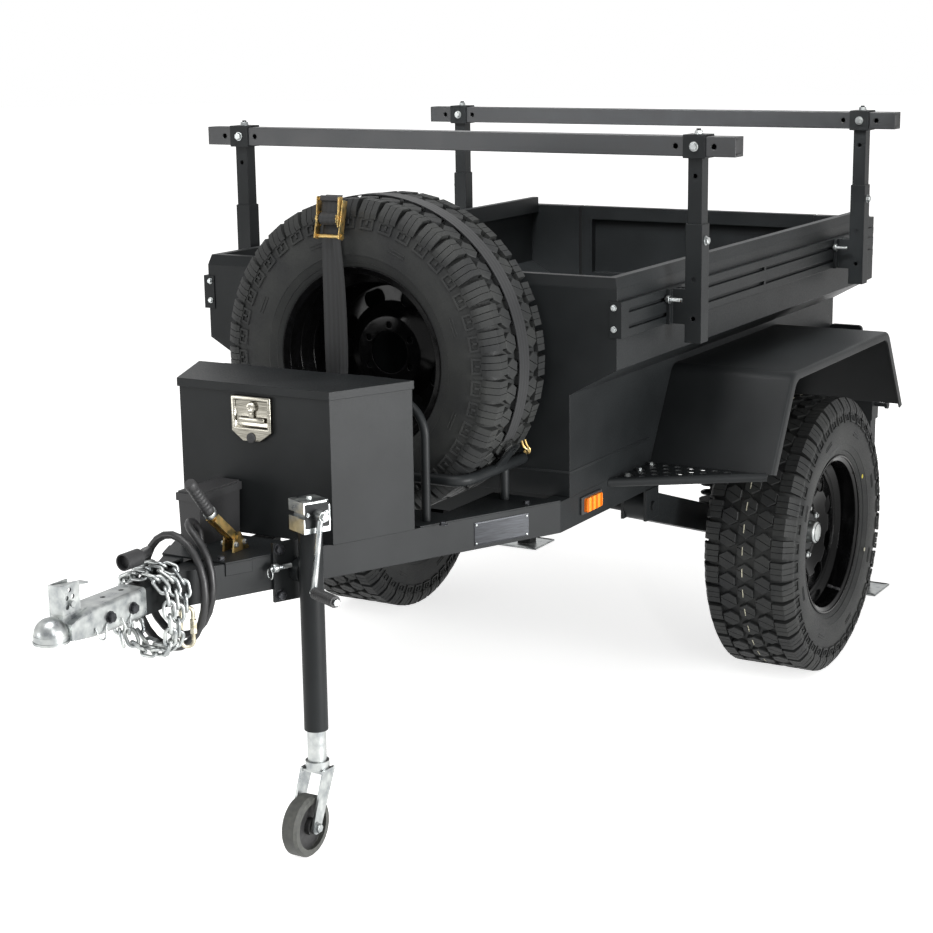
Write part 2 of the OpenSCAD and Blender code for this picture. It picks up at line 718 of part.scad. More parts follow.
// Pierced step: a triangle between the tub and the fender's foot, edged with a round tube
step_front = 230;
step_t = 4;
step_r = 12;
step_hole_r = 11;
step_pitch = 36;
step_margin = 22;
step_rear = axle_y - fender_foot;
step_slope = (fender_w - step_r) / (step_rear - step_front);
function on_step(x, y) = x < (y - step_front) * step_slope - 2 * step_margin;
step_cols = floor(fender_w / step_pitch);
step_rows = floor((step_rear - step_front) / step_pitch);
module step_holes() for (i = [0 : step_cols], j = [0 : step_rows]) {
  x = step_margin + (i + (j % 2) / 2) * step_pitch;
  y = step_rear - step_margin - j * step_pitch;
  if (on_step(x, y)) translate([half_low + x, y]) circle(r = step_hole_r);
}
module step() difference() {
  z = fender_foot_z - step_t;
  tip = half_low + fender_w - step_r;
  union() {
    translate([0, 0, z]) linear_extrude(step_t) difference() {
      polygon([[half_low, step_front], [tip, step_rear - step_r], [tip, step_rear], [half_low, step_rear]]);
      step_holes();
    }
    rod([half_low - step_r, step_front - step_r / step_slope, z], [tip, step_rear - step_r, z], step_r);
  }
  span([0, 0, rail_bot_z], [half_low, axle_y, tub_top_z]);
}
module left_step() color("#202122") in_frame() step();
module right_step() color("#202122") in_frame() mirror([1, 0, 0]) step();

// Rack posts: a lower tube clamped to the side track, an upper tube in it, a sleeve for the bar
post_x = half_top + post_off;
post_low_z = 1068;
post_step_z = 1370;
post_overlap = 200;
post_hole_r = 6;
post_hole_z = [1130, 1230];
upper_hole_z = 1490;
clamp_w = 80;
clamp_rib = 10;
sleeve_wall = 4;
sleeve_gap = 0.3;
sleeve_len = 60;
sleeve_stud_r = 6;
sleeve_stud_h = 14;
upper_s = post_s - 2 * bar_wall - 2 * sleeve_gap;
sleeve_s = bar_s + 2 * sleeve_wall + 2 * sleeve_gap;
bar_hole_r = 7;
bar_hole_off = 52;
module rack_places() for (x = [-post_x, post_x], y = [post_front_y, post_rear_y])
  translate([x, y, 0]) rotate([0, 0, x > 0 ? 0 : 180]) children();

// A round hole along Y through a post or bar at height z.
module hole_y(x, z, r) translate([x, 2 * bar_s, z]) rotate([90, 0, 0]) cylinder(h = 4 * bar_s, r = r);

module rack_lower_posts() color("#1a1b1c") in_frame() rack_places() {
  difference() {
    translate([0, 0, post_low_z]) tube_z(post_s, post_step_z - post_low_z, bar_wall);
    for (z = post_hole_z) hole_y(0, z, post_hole_r);
  }
  track_face = half_top + track_t - post_x;
  span([track_face, -clamp_w / 2, track_low_z], [track_face + clamp_rib, clamp_w / 2, track_high_z]);
  for (s = [-1, 1]) translate([0, s * (post_s - clamp_rib) / 2, 0])
    span([track_face + clamp_rib, -clamp_rib / 2, track_low_z], [-post_s / 2, clamp_rib / 2, track_high_z]);
}

module rack_upper_posts() color("#1a1b1c") in_frame() rack_places() {
  difference() {
    translate([0, 0, post_step_z - post_overlap])
      tube_z(upper_s, bar_z - sleeve_s / 2 - post_step_z + post_overlap + 1, bar_wall);
    hole_y(0, upper_hole_z, post_hole_r);
  }
  along_x(-sleeve_len / 2, sleeve_len) translate([0, bar_z]) tube_section(sleeve_s, sleeve_s, sleeve_wall);
  translate([0, 0, bar_z + sleeve_s / 2 - 1]) cylinder(h = sleeve_stud_h + 1, r = sleeve_stud_r);
}

module rack_bars() color("#1a1b1c") in_frame() for (y = [post_front_y, post_rear_y]) difference() {
  along_x(-bar_len / 2, bar_len) translate([y, bar_z]) tube_section(bar_s, bar_s, bar_wall);
  for (s = [-1, 1], t = [-1, 1]) translate([0, y, 0])
    hole_y(s * (post_x + t * bar_hole_off), bar_z, bar_hole_r);
}

// Half of the tyre's section, radius along X and width along Y
tread_half = tyre_w / 2 - 20;
shoulder_r = 26;
side_r = 60;
side_drop_r = 90;
bead_r = flange_r - 13;
bead_w = 16;
bead_h = 10;
bead_in = 12;
tyre_wall = 14;
groove_w = 10;
groove_y = [-44, 0, 44];
lug_gap = 12;
lug_len = 44;
module tyre_section() hull() {
  for (s = [-1, 1]) {
    translate([tyre_r - shoulder_r, s * (tread_half - lug_gap)]) circle(r = shoulder_r, $fn = 32);
    translate([tyre_r - side_drop_r, s * (tyre_w / 2 - side_r)]) circle(r = side_r, $fn = 32);
  }
  translate([bead_r, -rim_width / 2 + bead_in]) square([bead_h, rim_width - 2 * bead_in]);
}
module tyre() difference() {
  rotate([0, 90, 0]) rotate_extrude($fn = 96) difference() {
    tyre_section();
    offset(delta = -tyre_wall - lug_depth) tyre_section();
    translate([0, -rim_width / 2 + bead_in + bead_w])
      square([bead_r + 2 * tyre_wall, rim_width - 2 * bead_in - 2 * bead_w]);
    for (y = groove_y) translate([tyre_r - lug_depth, y - groove_w / 2]) square([2 * lug_depth, groove_w]);
  }
  for (i = [0 : lug_n - 1], s = [-1, 1]) rotate([(i + s / 4) * 360 / lug_n, 0, 0])
    translate([s * (tyre_w / 2 - lug_len / 2), 0, tyre_r])
      cube([lug_len, lug_gap, 2 * lug_depth], center = true);
}

// Steel rim: barrel with a dropped centre, and a dished disc with windows towards +X
rim_t = 5;
seat_half = rim_width / 2 - bead_in;
well_r = 192;
well_half = 40;
well_out = 60;
disc_t = 6;
disc_rise = 22;
hub_bore_r = 54;
bolt_circle_r = 70;
bolt_hole_r = 8;
bolt_n = 6;
bolt_face_r = 92;
crown_r = 150;
window_n = 8;
window_r = 143;
window_w = 60;
window_h = 40;
window_round = 16;
module barrel() rotate_extrude($fn = 96) polygon([
  [flange_r, rim_width / 2], [flange_r, rim_width / 2 - rim_t], [bead_r - tiny, seat_half],
  [bead_r - tiny, well_out], [well_r, well_half], [well_r, -well_half], [bead_r - tiny, -well_out],
  [bead_r - tiny, -seat_half], [flange_r, -rim_width / 2 + rim_t], [flange_r, -rim_width / 2],
  [bead_r - rim_t, -seat_half - rim_t], [bead_r - rim_t, -well_out], [well_r - rim_t, -well_half],
  [well_r - rim_t, well_half], [bead_r - rim_t, well_out], [bead_r - rim_t, seat_half + rim_t]
]);
module disc() difference() {
  rotate_extrude($fn = 96) polygon([
    [hub_bore_r, disc_in], [bolt_face_r, disc_in], [crown_r - window_h / 2, disc_in + disc_rise],
    [crown_r + window_h / 2, disc_in + disc_rise], [well_r - rim_t, disc_in - disc_t],
    [well_r - rim_t, disc_in - 4 * disc_t], [crown_r + window_h / 2, disc_in + disc_rise - disc_t],
    [crown_r - window_h / 2, disc_in + disc_rise - disc_t], [bolt_face_r, disc_in - disc_t],
    [hub_bore_r, disc_in - disc_t]
  ]);
  for (i = [0 : window_n - 1]) rotate([0, 0, (i + 0.5) * 360 / window_n])
    translate([window_r, 0, 0]) linear_extrude(rim_width) round_square(window_h, window_w, window_round);
  for (i = [0 : bolt_n - 1]) rotate([0, 0, i * 360 / bolt_n])
    translate([bolt_circle_r, 0, 0]) cylinder(h = rim_width, r = bolt_hole_r);
}
module rim() rotate([0, 90, 0]) {
  barrel();
  disc();
}

// Hub with brake drum, running on the stub axle; its cap closes the outer end
stub_r = 20;
hub_r = 62;
hub_flange_r = 88;
hub_flange_t = 12;
hub_nose_r = hub_bore_r - tiny;
hub_nose = 10;
drum_r = 130;
drum_w = 50;
hub_in = drum_w + 60;
cap_r = 33;
cap_h = 38;
cap_edge = 6;
module hub() difference() {
  disc_back = disc_in - disc_t - tiny;
  union() {
    pin_x([disc_in - hub_in, 0, 0], hub_in - disc_t - hub_flange_t, hub_r);
    pin_x([disc_in - hub_in, 0, 0], drum_w, drum_r);
    pin_x([disc_back - hub_flange_t, 0, 0], hub_flange_t, hub_flange_r);
    pin_x([disc_back - hub_flange_t, 0, 0], hub_flange_t + disc_t + hub_nose, hub_nose_r);
    pin_x([disc_in, 0, 0], cap_h - cap_edge, cap_r);
    translate([disc_in + cap_h - cap_edge, 0, 0]) rotate([0, 90, 0])
      cylinder(h = cap_edge, r1 = cap_r, r2 = cap_r - cap_edge);
  }
  pin_x([disc_in - 2 * hub_in, 0, 0], 2 * hub_in - hub_flange_t, stub_r + running);
}
module at_wheel() in_frame() translate([wheel_x, axle_y, axle_z]) children();
module at_right_wheel() in_frame() mirror([1, 0, 0]) translate([wheel_x, axle_y, axle_z]) children();
module left_tyre() color("#1a1a1a") at_wheel() tyre();
module left_rim() color("#0c0c0d") at_wheel() rim();
module left_hub() color("#232323") at_wheel() hub();
module right_tyre() color("#1a1a1a") at_right_wheel() tyre();
module right_rim() color("#0c0c0d") at_right_wheel() rim();
module right_hub() color("#232323") at_right_wheel() hub();

// The spare hangs with its dish towards the tub, so the deep side of the rim shows
module at_spare() in_frame() translate([spare_x, spare_y, spare_z]) rotate([0, 0, 90]) children();
module spare_tyre() color("#1a1a1a") at_spare() tyre();
module spare_rim() color("#0c0c0d") at_spare() rim();

// Cradle tube round the tyre on three sides, short rear legs, and a hoop behind the tool box
cradle_bend = 46;
cradle_leg_y = -100;
lug_plate_t = 6;
lug_plate_y = [-165, -105];
lug_plate_h = 80;
lug_plate_lean = asin((spare_z - cradle_z) / (tyre_r + cradle_r + tiny));
lug_slot_r = 6;
hoop_x = 296;
hoop_y = -378;
hoop_r = 11;
hoop_bend = 90;
hoop_top_z = 1000;
module lug_plate() along_x(-lug_plate_t / 2, lug_plate_t) difference() {
  mid = (lug_plate_y[0] + lug_plate_y[1]) / 2;
  polygon([
    [lug_plate_y[0], 0], [lug_plate_y[1], 0], [mid + cradle_r, lug_plate_h], [mid - cradle_r, lug_plate_h]
  ]);
  translate([mid, lug_plate_h - 2 * lug_slot_r]) circle(r = lug_slot_r);
}
module cradle_corner(x, s) {
  end = x - s * cradle_bend;
  rod([x, cradle_front + cradle_bend, cradle_z], [x, 0, cradle_z], cradle_r);
  tube_bend([end, cradle_front + cradle_bend, cradle_z], cradle_bend, cradle_r, s > 0 ? -90 : 180);
  rod([x, cradle_leg_y, deck_z], [x, cradle_leg_y, cradle_z], cradle_r - 2);
}
module spare_carrier() color("#1c1d1e") in_frame() {
  left = spare_x - cradle_half;
  right = spare_x + cradle_half;
  cradle_corner(left, -1);
  cradle_corner(right, 1);
  rod([left + cradle_bend, cradle_front, cradle_z], [right - cradle_bend, cradle_front, cradle_z], cradle_r);
  for (s = [-1, 1]) translate([spare_x + s * cradle_half, 0, cradle_z]) rotate([0, s * lug_plate_lean, 0])
    lug_plate();
  both_sides() {
    rod([hoop_x, hoop_y, deck_z], [hoop_x, hoop_y, hoop_top_z - hoop_bend], hoop_r);
    translate([hoop_x - hoop_bend, hoop_y, hoop_top_z - hoop_bend]) rotate([90, 0, 0])
      tube_bend([0, 0, 0], hoop_bend, hoop_r, 0);
  }
  rod([-hoop_x + hoop_bend, hoop_y, hoop_top_z], [hoop_x - hoop_bend, hoop_y, hoop_top_z], hoop_r);
}

// Tie-down strap: a band round the tread, and the tail that hangs down the wheel's face
strap_w = 50;
strap_t = 3;
strap_from = -28;
strap_turn = 236;
tail_x = [-44, 4];
tail_low_z = 985;
tail_y = spare_y - tyre_w / 2 - tiny;
shoulder_y = spare_y - tread_half + lug_gap;
shoulder_z = spare_z + tyre_r - shoulder_r;
tail_turn = 70;
module tail_line(out) polygon(concat(
  [[tail_y - out, tail_low_z], [tail_y - out, shoulder_z]],
  [for (a = [180 : -10 : 180 - tail_turn]) [shoulder_y, shoulder_z] +
    (shoulder_y - tail_y + out) * [cos(a), sin(a)]],
  [[shoulder_y, shoulder_z], [shoulder_y, tail_low_z]]
));
module spare_strap() color("#3a3b3d") in_frame() {
  translate([spare_x, spare_y, spare_z]) rotate([90, 0, 0]) rotate([0, 0, strap_from])
    rotate_extrude(angle = strap_turn, $fn = 96) translate([tyre_r + tiny, -strap_w / 2])
      square([strap_t, strap_w]);
  along_x(tail_x[0], tail_x[1] - tail_x[0]) difference() {
    tail_line(strap_t);
    tail_line(0);
    translate([shoulder_y - strap_w, tail_low_z]) square([2 * strap_w, 1]);
  }
}

// Ratchet buckle over the tyre's front shoulder: two cheeks, a drum and a handle bar
ratchet_a = 55;
ratchet_len = 100;
ratchet_h = 34;
ratchet_t = 3;
ratchet_drum_r = 12;
ratchet_end = 16;
ratchet_mid_x = (tail_x[0] + tail_x[1]) / 2;
ratchet_w = tail_x[1] - tail_x[0] + 6;
module strap_ratchet() color("#b79a4a") in_frame()
  translate([ratchet_mid_x, shoulder_y, shoulder_z]) rotate([ratchet_a, 0, 0])
    translate([0, -ratchet_len / 2, shoulder_y - tail_y + strap_t]) {
      for (s = [-1, 1]) translate([s * (ratchet_w / 2 + ratchet_t / 2) - ratchet_t / 2, 0, 0])
        cube([ratchet_t, ratchet_len, ratchet_h]);
      for (y = [ratchet_end, ratchet_len / 2, ratchet_len - ratchet_end])
        bar_x(y, ratchet_drum_r + tiny, ratchet_w + ratchet_t, ratchet_drum_r);
    }

// The arm's tube brace runs in to a second hanger on the cross member
brace_x = arm_x - 230;
brace_r = 19;
hanger_t = 8;
hanger_pin_r = 14;
hanger_drop = 36;
module arm_eye(x) pin_x([x - arm_w / 2, arm_pivot_y, arm_pivot_z], arm_w, arm_h / 2);
module trailing_arms() color("#1c1d1e") in_frame() both_sides() difference() {
  union() {
    hull() {
      arm_eye(arm_x);
      pin_x([arm_x - arm_w / 2, axle_y, axle_z], arm_w, arm_h / 2);
    }
    arm_eye(brace_x);
    rod([brace_x, arm_pivot_y + arm_h / 4, arm_pivot_z],
      [arm_x - arm_w / 4, axle_y - arm_h, axle_z + arm_h / 4], brace_r);
  }
  pin_x([brace_x - arm_w, arm_pivot_y, arm_pivot_z], arm_x - brace_x + 2 * arm_w, hanger_pin_r + tiny);
}

module hanger(x) {
  for (s = [-1, 1]) translate([x + s * (arm_w / 2 + tiny + hanger_t / 2) - hanger_t / 2, 0, 0])
    span([0, arm_pivot_y - arm_h / 2, arm_pivot_z - hanger_drop],
      [hanger_t, arm_pivot_y + arm_h / 2, rail_bot_z]);
  pin_x([x - arm_w / 2 - 2 * hanger_t, arm_pivot_y, arm_pivot_z], arm_w + 4 * hanger_t, hanger_pin_r);
}
module arm_hangers() color("#1c1d1e") in_frame() both_sides() {
  hanger(arm_x);
  hanger(brace_x);
}

axle_end = 30;
module stub_axles() color("#3b3c3d") in_frame() both_sides()
  pin_x([arm_x + arm_w / 2, axle_y, axle_z], wheel_x + disc_in - axle_end - arm_x - arm_w / 2, stub_r);

// Upright damper with a coil spring between the arm and the rail
shock_r = 20;
shock_rod_r = 11;
spring_r = 42;
spring_wire = 6;
spring_turns = 5;
spring_steps = 16;
cup_r = 52;
cup_t = 8;
arm_a = atan2(arm_pivot_z - axle_z, axle_y - arm_pivot_y);
shock_seat_z = axle_z + arm_h / 2 / cos(arm_a) + cup_r * tan(arm_a) + tiny;
spring_low_z = shock_seat_z + cup_t + spring_wire - 1;
spring_rise = rail_bot_z - cup_t - spring_wire + 1 - spring_low_z;
spring_line = [for (i = [0 : spring_turns * spring_steps]) let (a = i * 360 / spring_steps)
  [spring_r * cos(a), spring_r * sin(a), spring_low_z + spring_rise * i / (spring_turns * spring_steps)]];
module shock_absorbers() color("#2b2c2d") in_frame() both_sides() translate([arm_x, axle_y, 0]) {
  translate([0, 0, shock_seat_z]) cylinder(h = cup_t, r = cup_r);
  translate([0, 0, shock_seat_z]) cylinder(h = (rail_bot_z - shock_seat_z) / 2, r = shock_r);
  translate([0, 0, shock_seat_z]) cylinder(h = rail_bot_z - shock_seat_z, r = shock_rod_r);
  translate([0, 0, rail_bot_z - cup_t]) cylinder(h = cup_t, r = cup_r);
  swept_tube(spring_line, spring_wire, 8, [0, 0, 1]);
}

marker_y = 70;
marker_w = 90;
marker_h = 36;
marker_t = 14;
marker_up = 26;
marker_r = 5;
module side_markers() color("#d9661a") in_frame() both_sides() along_x(half_low, marker_t)
  translate([marker_y + marker_w / 2, rail_bot_z + marker_up + marker_h / 2])
    round_square(marker_w, marker_h, marker_r);

// Drop legs in sleeves beside the rails, each held by a spring pin
leg_x = half_low + leg_off;
leg_y = tub_len - leg_inset;
leg_gap = 0.4;
sleeve_h = 100;
sleeve_low = 40;
sleeve_z = rail_bot_z - sleeve_low;
leg_sleeve_wall = 5;
sleeve_web = 5;
foot_t = 5;
pull_pin_r = 7;
pull_pin_len = 44;
pull_knob_r = 12;
pull_knob_len = 10;
module leg_sleeves() color("#1c1d1e") in_frame() both_sides() {
  outer = leg_s + 2 * leg_gap + 2 * leg_sleeve_wall;
  pin_z = sleeve_z + sleeve_h / 2;
  translate([leg_x, leg_y, sleeve_z]) tube_z(outer, sleeve_h, leg_sleeve_wall);
  span([half_low, leg_y - leg_s / 2, rail_bot_z + sleeve_web],
    [leg_x - outer / 2 + 1, leg_y + leg_s / 2, sleeve_z + sleeve_h]);
  pin_x([leg_x + outer / 2 - 1, leg_y, pin_z], pull_pin_len, pull_pin_r);
  pin_x([leg_x + outer / 2 + pull_pin_len - pull_knob_len, leg_y, pin_z], pull_knob_len, pull_knob_r);
}
module leg() {
  translate([leg_x, leg_y, foot_t]) tube_z(leg_s, leg_h - foot_t, bar_wall);
  translate([leg_x, leg_y, 0]) linear_extrude(foot_t) square(foot_s, center = true);
}
module left_leg() color("#1c1d1e") in_frame() leg();
module right_leg() color("#1c1d1e") in_frame() mirror([1, 0, 0]) leg();

// Swing-up jack on the drawbar rail: its own frame points X out of the rail and Y back along it
plate_t = 8;
plate_w = 130;
plate_h = 140;
plate_hole_r = 6;
plate_hole_in = 16;
pivot_r = 20;
pivot_gap = 2;
jack_top_z = 764;
jack_head_h = 72;
jack_bot_z = 289;
crank_z = 806;
crank_arm = 175;
crank_r = 7;
fork_top_z = 214;
module at_jack() in_frame() translate([jack_x, -jack_y, 0]) rotate([0, 0, -drawbar_angle]) children();

plate_hole_y = plate_w / 2 - plate_hole_in;
plate_hole_z = plate_h / 2 - plate_hole_in;
module jack_plate() color("#1c1d1e") at_jack() {
  difference() {
    span([-jack_off, -plate_w / 2, jack_pivot_z - plate_h / 2],
      [-jack_off + plate_t, plate_w / 2, jack_pivot_z + plate_h / 2]);
    for (s = [-1, 1], t = [-1, 1])
      pin_x([-2 * jack_off, s * plate_hole_y, jack_pivot_z + t * plate_hole_z], 2 * jack_off, plate_hole_r);
  }
  pin_x([-jack_off, 0, jack_pivot_z], jack_off - jack_r - pivot_gap, pivot_r);
}

collar_r = pivot_r + 8;
collar_gap = 6;
collar_len = jack_off - jack_r - plate_t - collar_gap;
collar_into = 8;
module jack_body() color("#18191a") at_jack() difference() {
  union() {
    translate([0, 0, jack_bot_z]) cylinder(h = jack_top_z - jack_bot_z, r = jack_r);
    pin_x([-jack_r - collar_len, 0, jack_pivot_z], collar_len + collar_into, collar_r);
  }
  translate([0, 0, jack_bot_z - 1])
    cylinder(h = jack_top_z - jack_bot_z - collar_into, r = jack_inner_r + running);
  pin_x([-jack_off, 0, jack_pivot_z], jack_off - jack_r - 1, pivot_r + running);
}

// Geared head: a folded housing with a waist across its front, standing on the outer tube
head_half = 34;
head_waist_d = 14;
head_waist_h = 12;
head_waist_z = 34;
crank_shaft_r = 8;
crank_shaft = 22;
crank_x = head_half;
module jack_head() color("#b9bcbc") at_jack() difference() {
  along_x(-head_half, 2 * head_half) translate([0, jack_top_z]) polygon([
    [-head_half, 0], [head_half, 0], [head_half, jack_head_h - head_waist_h],
    [head_half - head_waist_h, jack_head_h],
    [-head_half, jack_head_h], [-head_half, head_waist_z + head_waist_h],
    [-head_half + head_waist_d, head_waist_z + head_waist_h], [-head_half + head_waist_d, head_waist_z],
    [-head_half, head_waist_z]
  ]);
  pin_x([crank_x - crank_shaft - 2, 0, crank_z], 2 * crank_shaft, crank_shaft_r + running);
}

crank_boss = 12;
crank_out = 28;
crank_gap = 1;
crank_arm_x = crank_x + 16;
crank_lean = 8;
grip_r = 13;
grip_pin_r = 7;
grip_len = 95;
crank_end_y = -crank_arm * sin(crank_lean);
crank_end_z = crank_z - crank_arm * cos(crank_lean);
module jack_crank() color("#b9bcbc") at_jack() {
  pin_x([crank_x + crank_gap, 0, crank_z], crank_out, crank_boss);
  pin_x([crank_x - crank_shaft, 0, crank_z], crank_shaft + 2 * crank_gap, crank_shaft_r);
  rod([crank_arm_x, 0, crank_z], [crank_arm_x, crank_end_y, crank_end_z], crank_r);
  pin_x([crank_arm_x - crank_r, crank_end_y, crank_end_z], grip_len + 2 * crank_r, grip_pin_r);
}
module crank_grip() color("#161718") at_jack() difference() {
  pin_x([crank_arm_x + crank_r + tiny, crank_end_y, crank_end_z], grip_len - crank_r, grip_r);
  pin_x([crank_arm_x, crank_end_y, crank_end_z], 2 * grip_len, grip_pin_r + tiny);
}

jack_inner_top = 640;
kingpin_r = 12;
kingpin_h = 50;
kingpin_bore = 55;
module jack_inner() color("#b9bcbc") at_jack() difference() {
  translate([0, 0, fork_top_z]) cylinder(h = jack_inner_top - fork_top_z, r = jack_inner_r);
  translate([0, 0, fork_top_z - 1]) cylinder(h = kingpin_bore, r = kingpin_r + running);
}

// Caster: a folded fork on a kingpin, and a wheel with dished faces
module at_caster() in_frame() translate([jack_x, -jack_y, 0]) children();
fork_t = 6;
fork_gap = 5;
fork_w = caster_w + 2 * fork_gap;
fork_crown = 20;
fork_crown_r = 28;
fork_root = 44;
fork_end_r = 16;
caster_pin_r = 6;
module fork_leg(s) hull() {
  translate([s * (fork_w + fork_t) / 2, 0, fork_top_z - fork_crown])
    cube([fork_t, fork_root, fork_t], center = true);
  translate([s * (fork_w + fork_t) / 2 - fork_t / 2, -caster_trail, caster_r]) rotate([0, 90, 0])
    cylinder(h = fork_t, r = fork_end_r, $fn = 32);
}
module caster_fork() color("#b9bcbc") at_caster() {
  translate([0, 0, fork_top_z - fork_crown]) cylinder(h = fork_crown - tiny, r = fork_crown_r);
  translate([0, 0, fork_top_z - fork_crown]) cylinder(h = fork_crown + kingpin_h, r = kingpin_r);
  for (s = [-1, 1]) fork_leg(s);
  span([-fork_w / 2 - fork_t, -fork_root / 2, fork_top_z - fork_crown - fork_t],
    [fork_w / 2 + fork_t, fork_root / 2, fork_top_z - fork_crown]);
  pin_x([-fork_w / 2 - fork_t, -caster_trail, caster_r], fork_w + 2 * fork_t, caster_pin_r);
}

caster_edge = 6;
caster_dish = 12;
caster_dish_r = 54;
caster_boss_r = 20;
module caster_wheel() color("#1b1c1d") at_caster() translate([0, -caster_trail, caster_r]) rotate([0, 90, 0])
  difference() {
    rotate_extrude() polygon([
      [0, -caster_w / 2], [caster_boss_r, -caster_w / 2], [caster_boss_r, -caster_w / 2 + caster_dish],
      [caster_dish_r, -caster_w / 2 + caster_dish], [caster_dish_r, -caster_w / 2 + 1],
      [caster_r - caster_edge, -caster_w / 2 + 1], [caster_r, -caster_w / 2 + 1 + caster_edge],
      [caster_r, caster_w / 2 - 1 - caster_edge], [caster_r - caster_edge, caster_w / 2 - 1],
      [caster_dish_r, caster_w / 2 - 1], [caster_dish_r, caster_w / 2 - caster_dish],
      [caster_boss_r, caster_w / 2 - caster_dish], [caster_boss_r, caster_w / 2], [0, caster_w / 2]
    ]);
    cylinder(h = 2 * caster_w, r = caster_pin_r + running, center = true);
  }

// Safety chain wound over the tongue: links laid end to end along a squarish coil
coil_room = 36;
coil_w = tongue_w / 2 + coil_room;
coil_h = 90;
coil_drop = [43, 32];
coil_from = 228;
coil_to = 1178;
coil_y = [-1098, -1022];
coil_square = 0.6;
slack_least = 0.5;
slack_bend = 2.2;
slack_power = 1.55;
link_roll = 45;
search_a = 40;
search_n = 20;
function unit(v) = v / norm(v);
function squared(v) = sign(v) * pow(abs(v), coil_square);
function mix(pair, t) = pair[0] + (pair[1] - pair[0]) * t;
function coil_point(a) = let (t = (a - coil_from) / (coil_to - coil_from))
  [coil_w * squared(sin(a)), mix(coil_y, t), rail_mid_z - mix(coil_drop, t) + coil_h * squared(cos(a))];

// Links need more play where the coil turns its corners.
function slack(a) = slack_least + slack_bend * pow(abs(sin(2 * a)), slack_power);
function link_reach(a, b) = link_len - (slack(a) + slack(b)) / 2;

// The angle one link further along the coil, found by halving the interval.
function next_angle(a, low, high, n) = n == 0 ? high :
  let (mid = (low + high) / 2, short = norm(coil_point(mid) - coil_point(a)) < link_reach(a, mid))
  next_angle(a, short ? mid : low, short ? high : mid, n - 1);
link_angles = [for (a = coil_from; a < coil_to; a = next_angle(a, a, a + search_a, search_n)) a];
link_ends = [for (a = link_angles) coil_point(a)];
link_n = len(link_ends) - 1;

// One link: two straight sides and two half rings, long along X and flat in XY.
module chain_link(length, width, wire) {
  bend = (width + wire) / 2;
  half = (length - width) / 2;
  for (s = [-1, 1]) {
    translate([-half, s * bend, 0]) rotate([0, 90, 0]) cylinder(h = 2 * half, r = wire / 2, $fn = 24);
    translate([s * half, 0, 0]) rotate([0, 0, s > 0 ? -90 : 90])
      rotate_extrude(angle = 180, $fn = 24) translate([bend, 0]) circle(r = wire / 2, $fn = 24);
  }
}

// Lays a child's X axis along a direction, its Y axis near the given one, rolled about X.
module aim(at, along, near, roll) {
  x = unit(along);
  z = unit(cross(x, near));
  y = cross(z, x);
  multmatrix([[x.x, y.x, z.x, at.x], [x.y, y.y, z.y, at.y], [x.z, y.z, z.z, at.z]])
    rotate([roll, 0, 0]) children();
}

module safety_chain() color("#c4c8c8") in_frame() for (i = [0 : link_n - 1]) {
  along = unit(link_ends[i + 1] - link_ends[i]);
  shift = (slack(link_angles[i + 1]) - slack(link_angles[i])) / 4;
  roll = i % 2 == 0 ? link_roll : -link_roll;
  aim((link_ends[i] + link_ends[i + 1]) / 2 + shift * along, along, [0, 1, 0], roll)
    chain_link(link_len, link_w, wire_d);
}

// Threaded quick link that hangs from the chain's last link
quick_len = 82;
quick_w = 18;
quick_wire = 9;
quick_nut_r = 8;
quick_nut_h = 32;
quick_at = link_ends[link_n] - [0, 0, (quick_len - slack(link_angles[link_n])) / 2];
quick_roll = link_n % 2 == 0 ? link_roll : -link_roll;
module quick_link() color("#c2a45c") in_frame() aim(quick_at, [0, 0, -1], [0, 1, 0], quick_roll) {
  chain_link(quick_len, quick_w, quick_wire);
  translate([-quick_nut_h / 2, (quick_w + quick_wire) / 2, 0]) rotate([0, 90, 0])
    cylinder(h = quick_nut_h, r = quick_nut_r, $fn = 6);
}

// Trailer cable: up from its gland, two turns round the drawbar's front, then over the top to its plug
cable_turns = 2;
cable_turn_steps = 24;
cable_first = 3;
cable_last = 43;
cable_y = [-945, -1012];
cable_z = [665, 638];
cable_w = [86, 94];
cable_h = [117, 130];
cable_sides = 10;
cable_lead = [[-8, -868, 726], [-8, -868, 737], [-8, -869, 750], [-8, -874, 764], [-8, -884, 777],
  [-6, -898, 786], [-1, -914, 790], [8, -929, 789], [21, -941, 783], [38, -947, 772]];
cable_tail = [[-87, -1004, 692], [-79, -1006, 711], [-67, -1009, 727], [-52, -1014, 739], [-36, -1022, 746],
  [-23, -1034, 749], [-15, -1049, 749], [-13, -1060, 748], [-13, -1068, 748]];
function turn_point(i) = let (t = i / (cable_turns * cable_turn_steps), a = i * 360 / cable_turn_steps)
  [mix(cable_w, t) * sin(a), mix(cable_y, t), mix(cable_z, t) + mix(cable_h, t) * cos(a)];
cable_route = concat(cable_lead, [for (i = [cable_first : cable_last]) turn_point(i)], cable_tail);
cable_ref = [0.9, 0.3, 0.4];
module trailer_cable() color("#141414") in_frame() swept_tube(cable_route, cable_r, cable_sides, cable_ref);

plug_r = 19;
plug_len = 52;
plug_boot_r = 11;
plug_boot_len = 14;
plug_at = cable_tail[len(cable_tail) - 1];
module trailer_plug() color("#5d6064") in_frame() translate(plug_at) rotate([90, 0, 0]) difference() {
  union() {
    cylinder(h = plug_boot_len, r1 = plug_boot_r, r2 = plug_r - 4);
    translate([0, 0, plug_boot_len]) cylinder(h = plug_len, r = plug_r);
  }
  translate([0, 0, plug_len]) cylinder(h = plug_len, r = plug_r - 3);
}

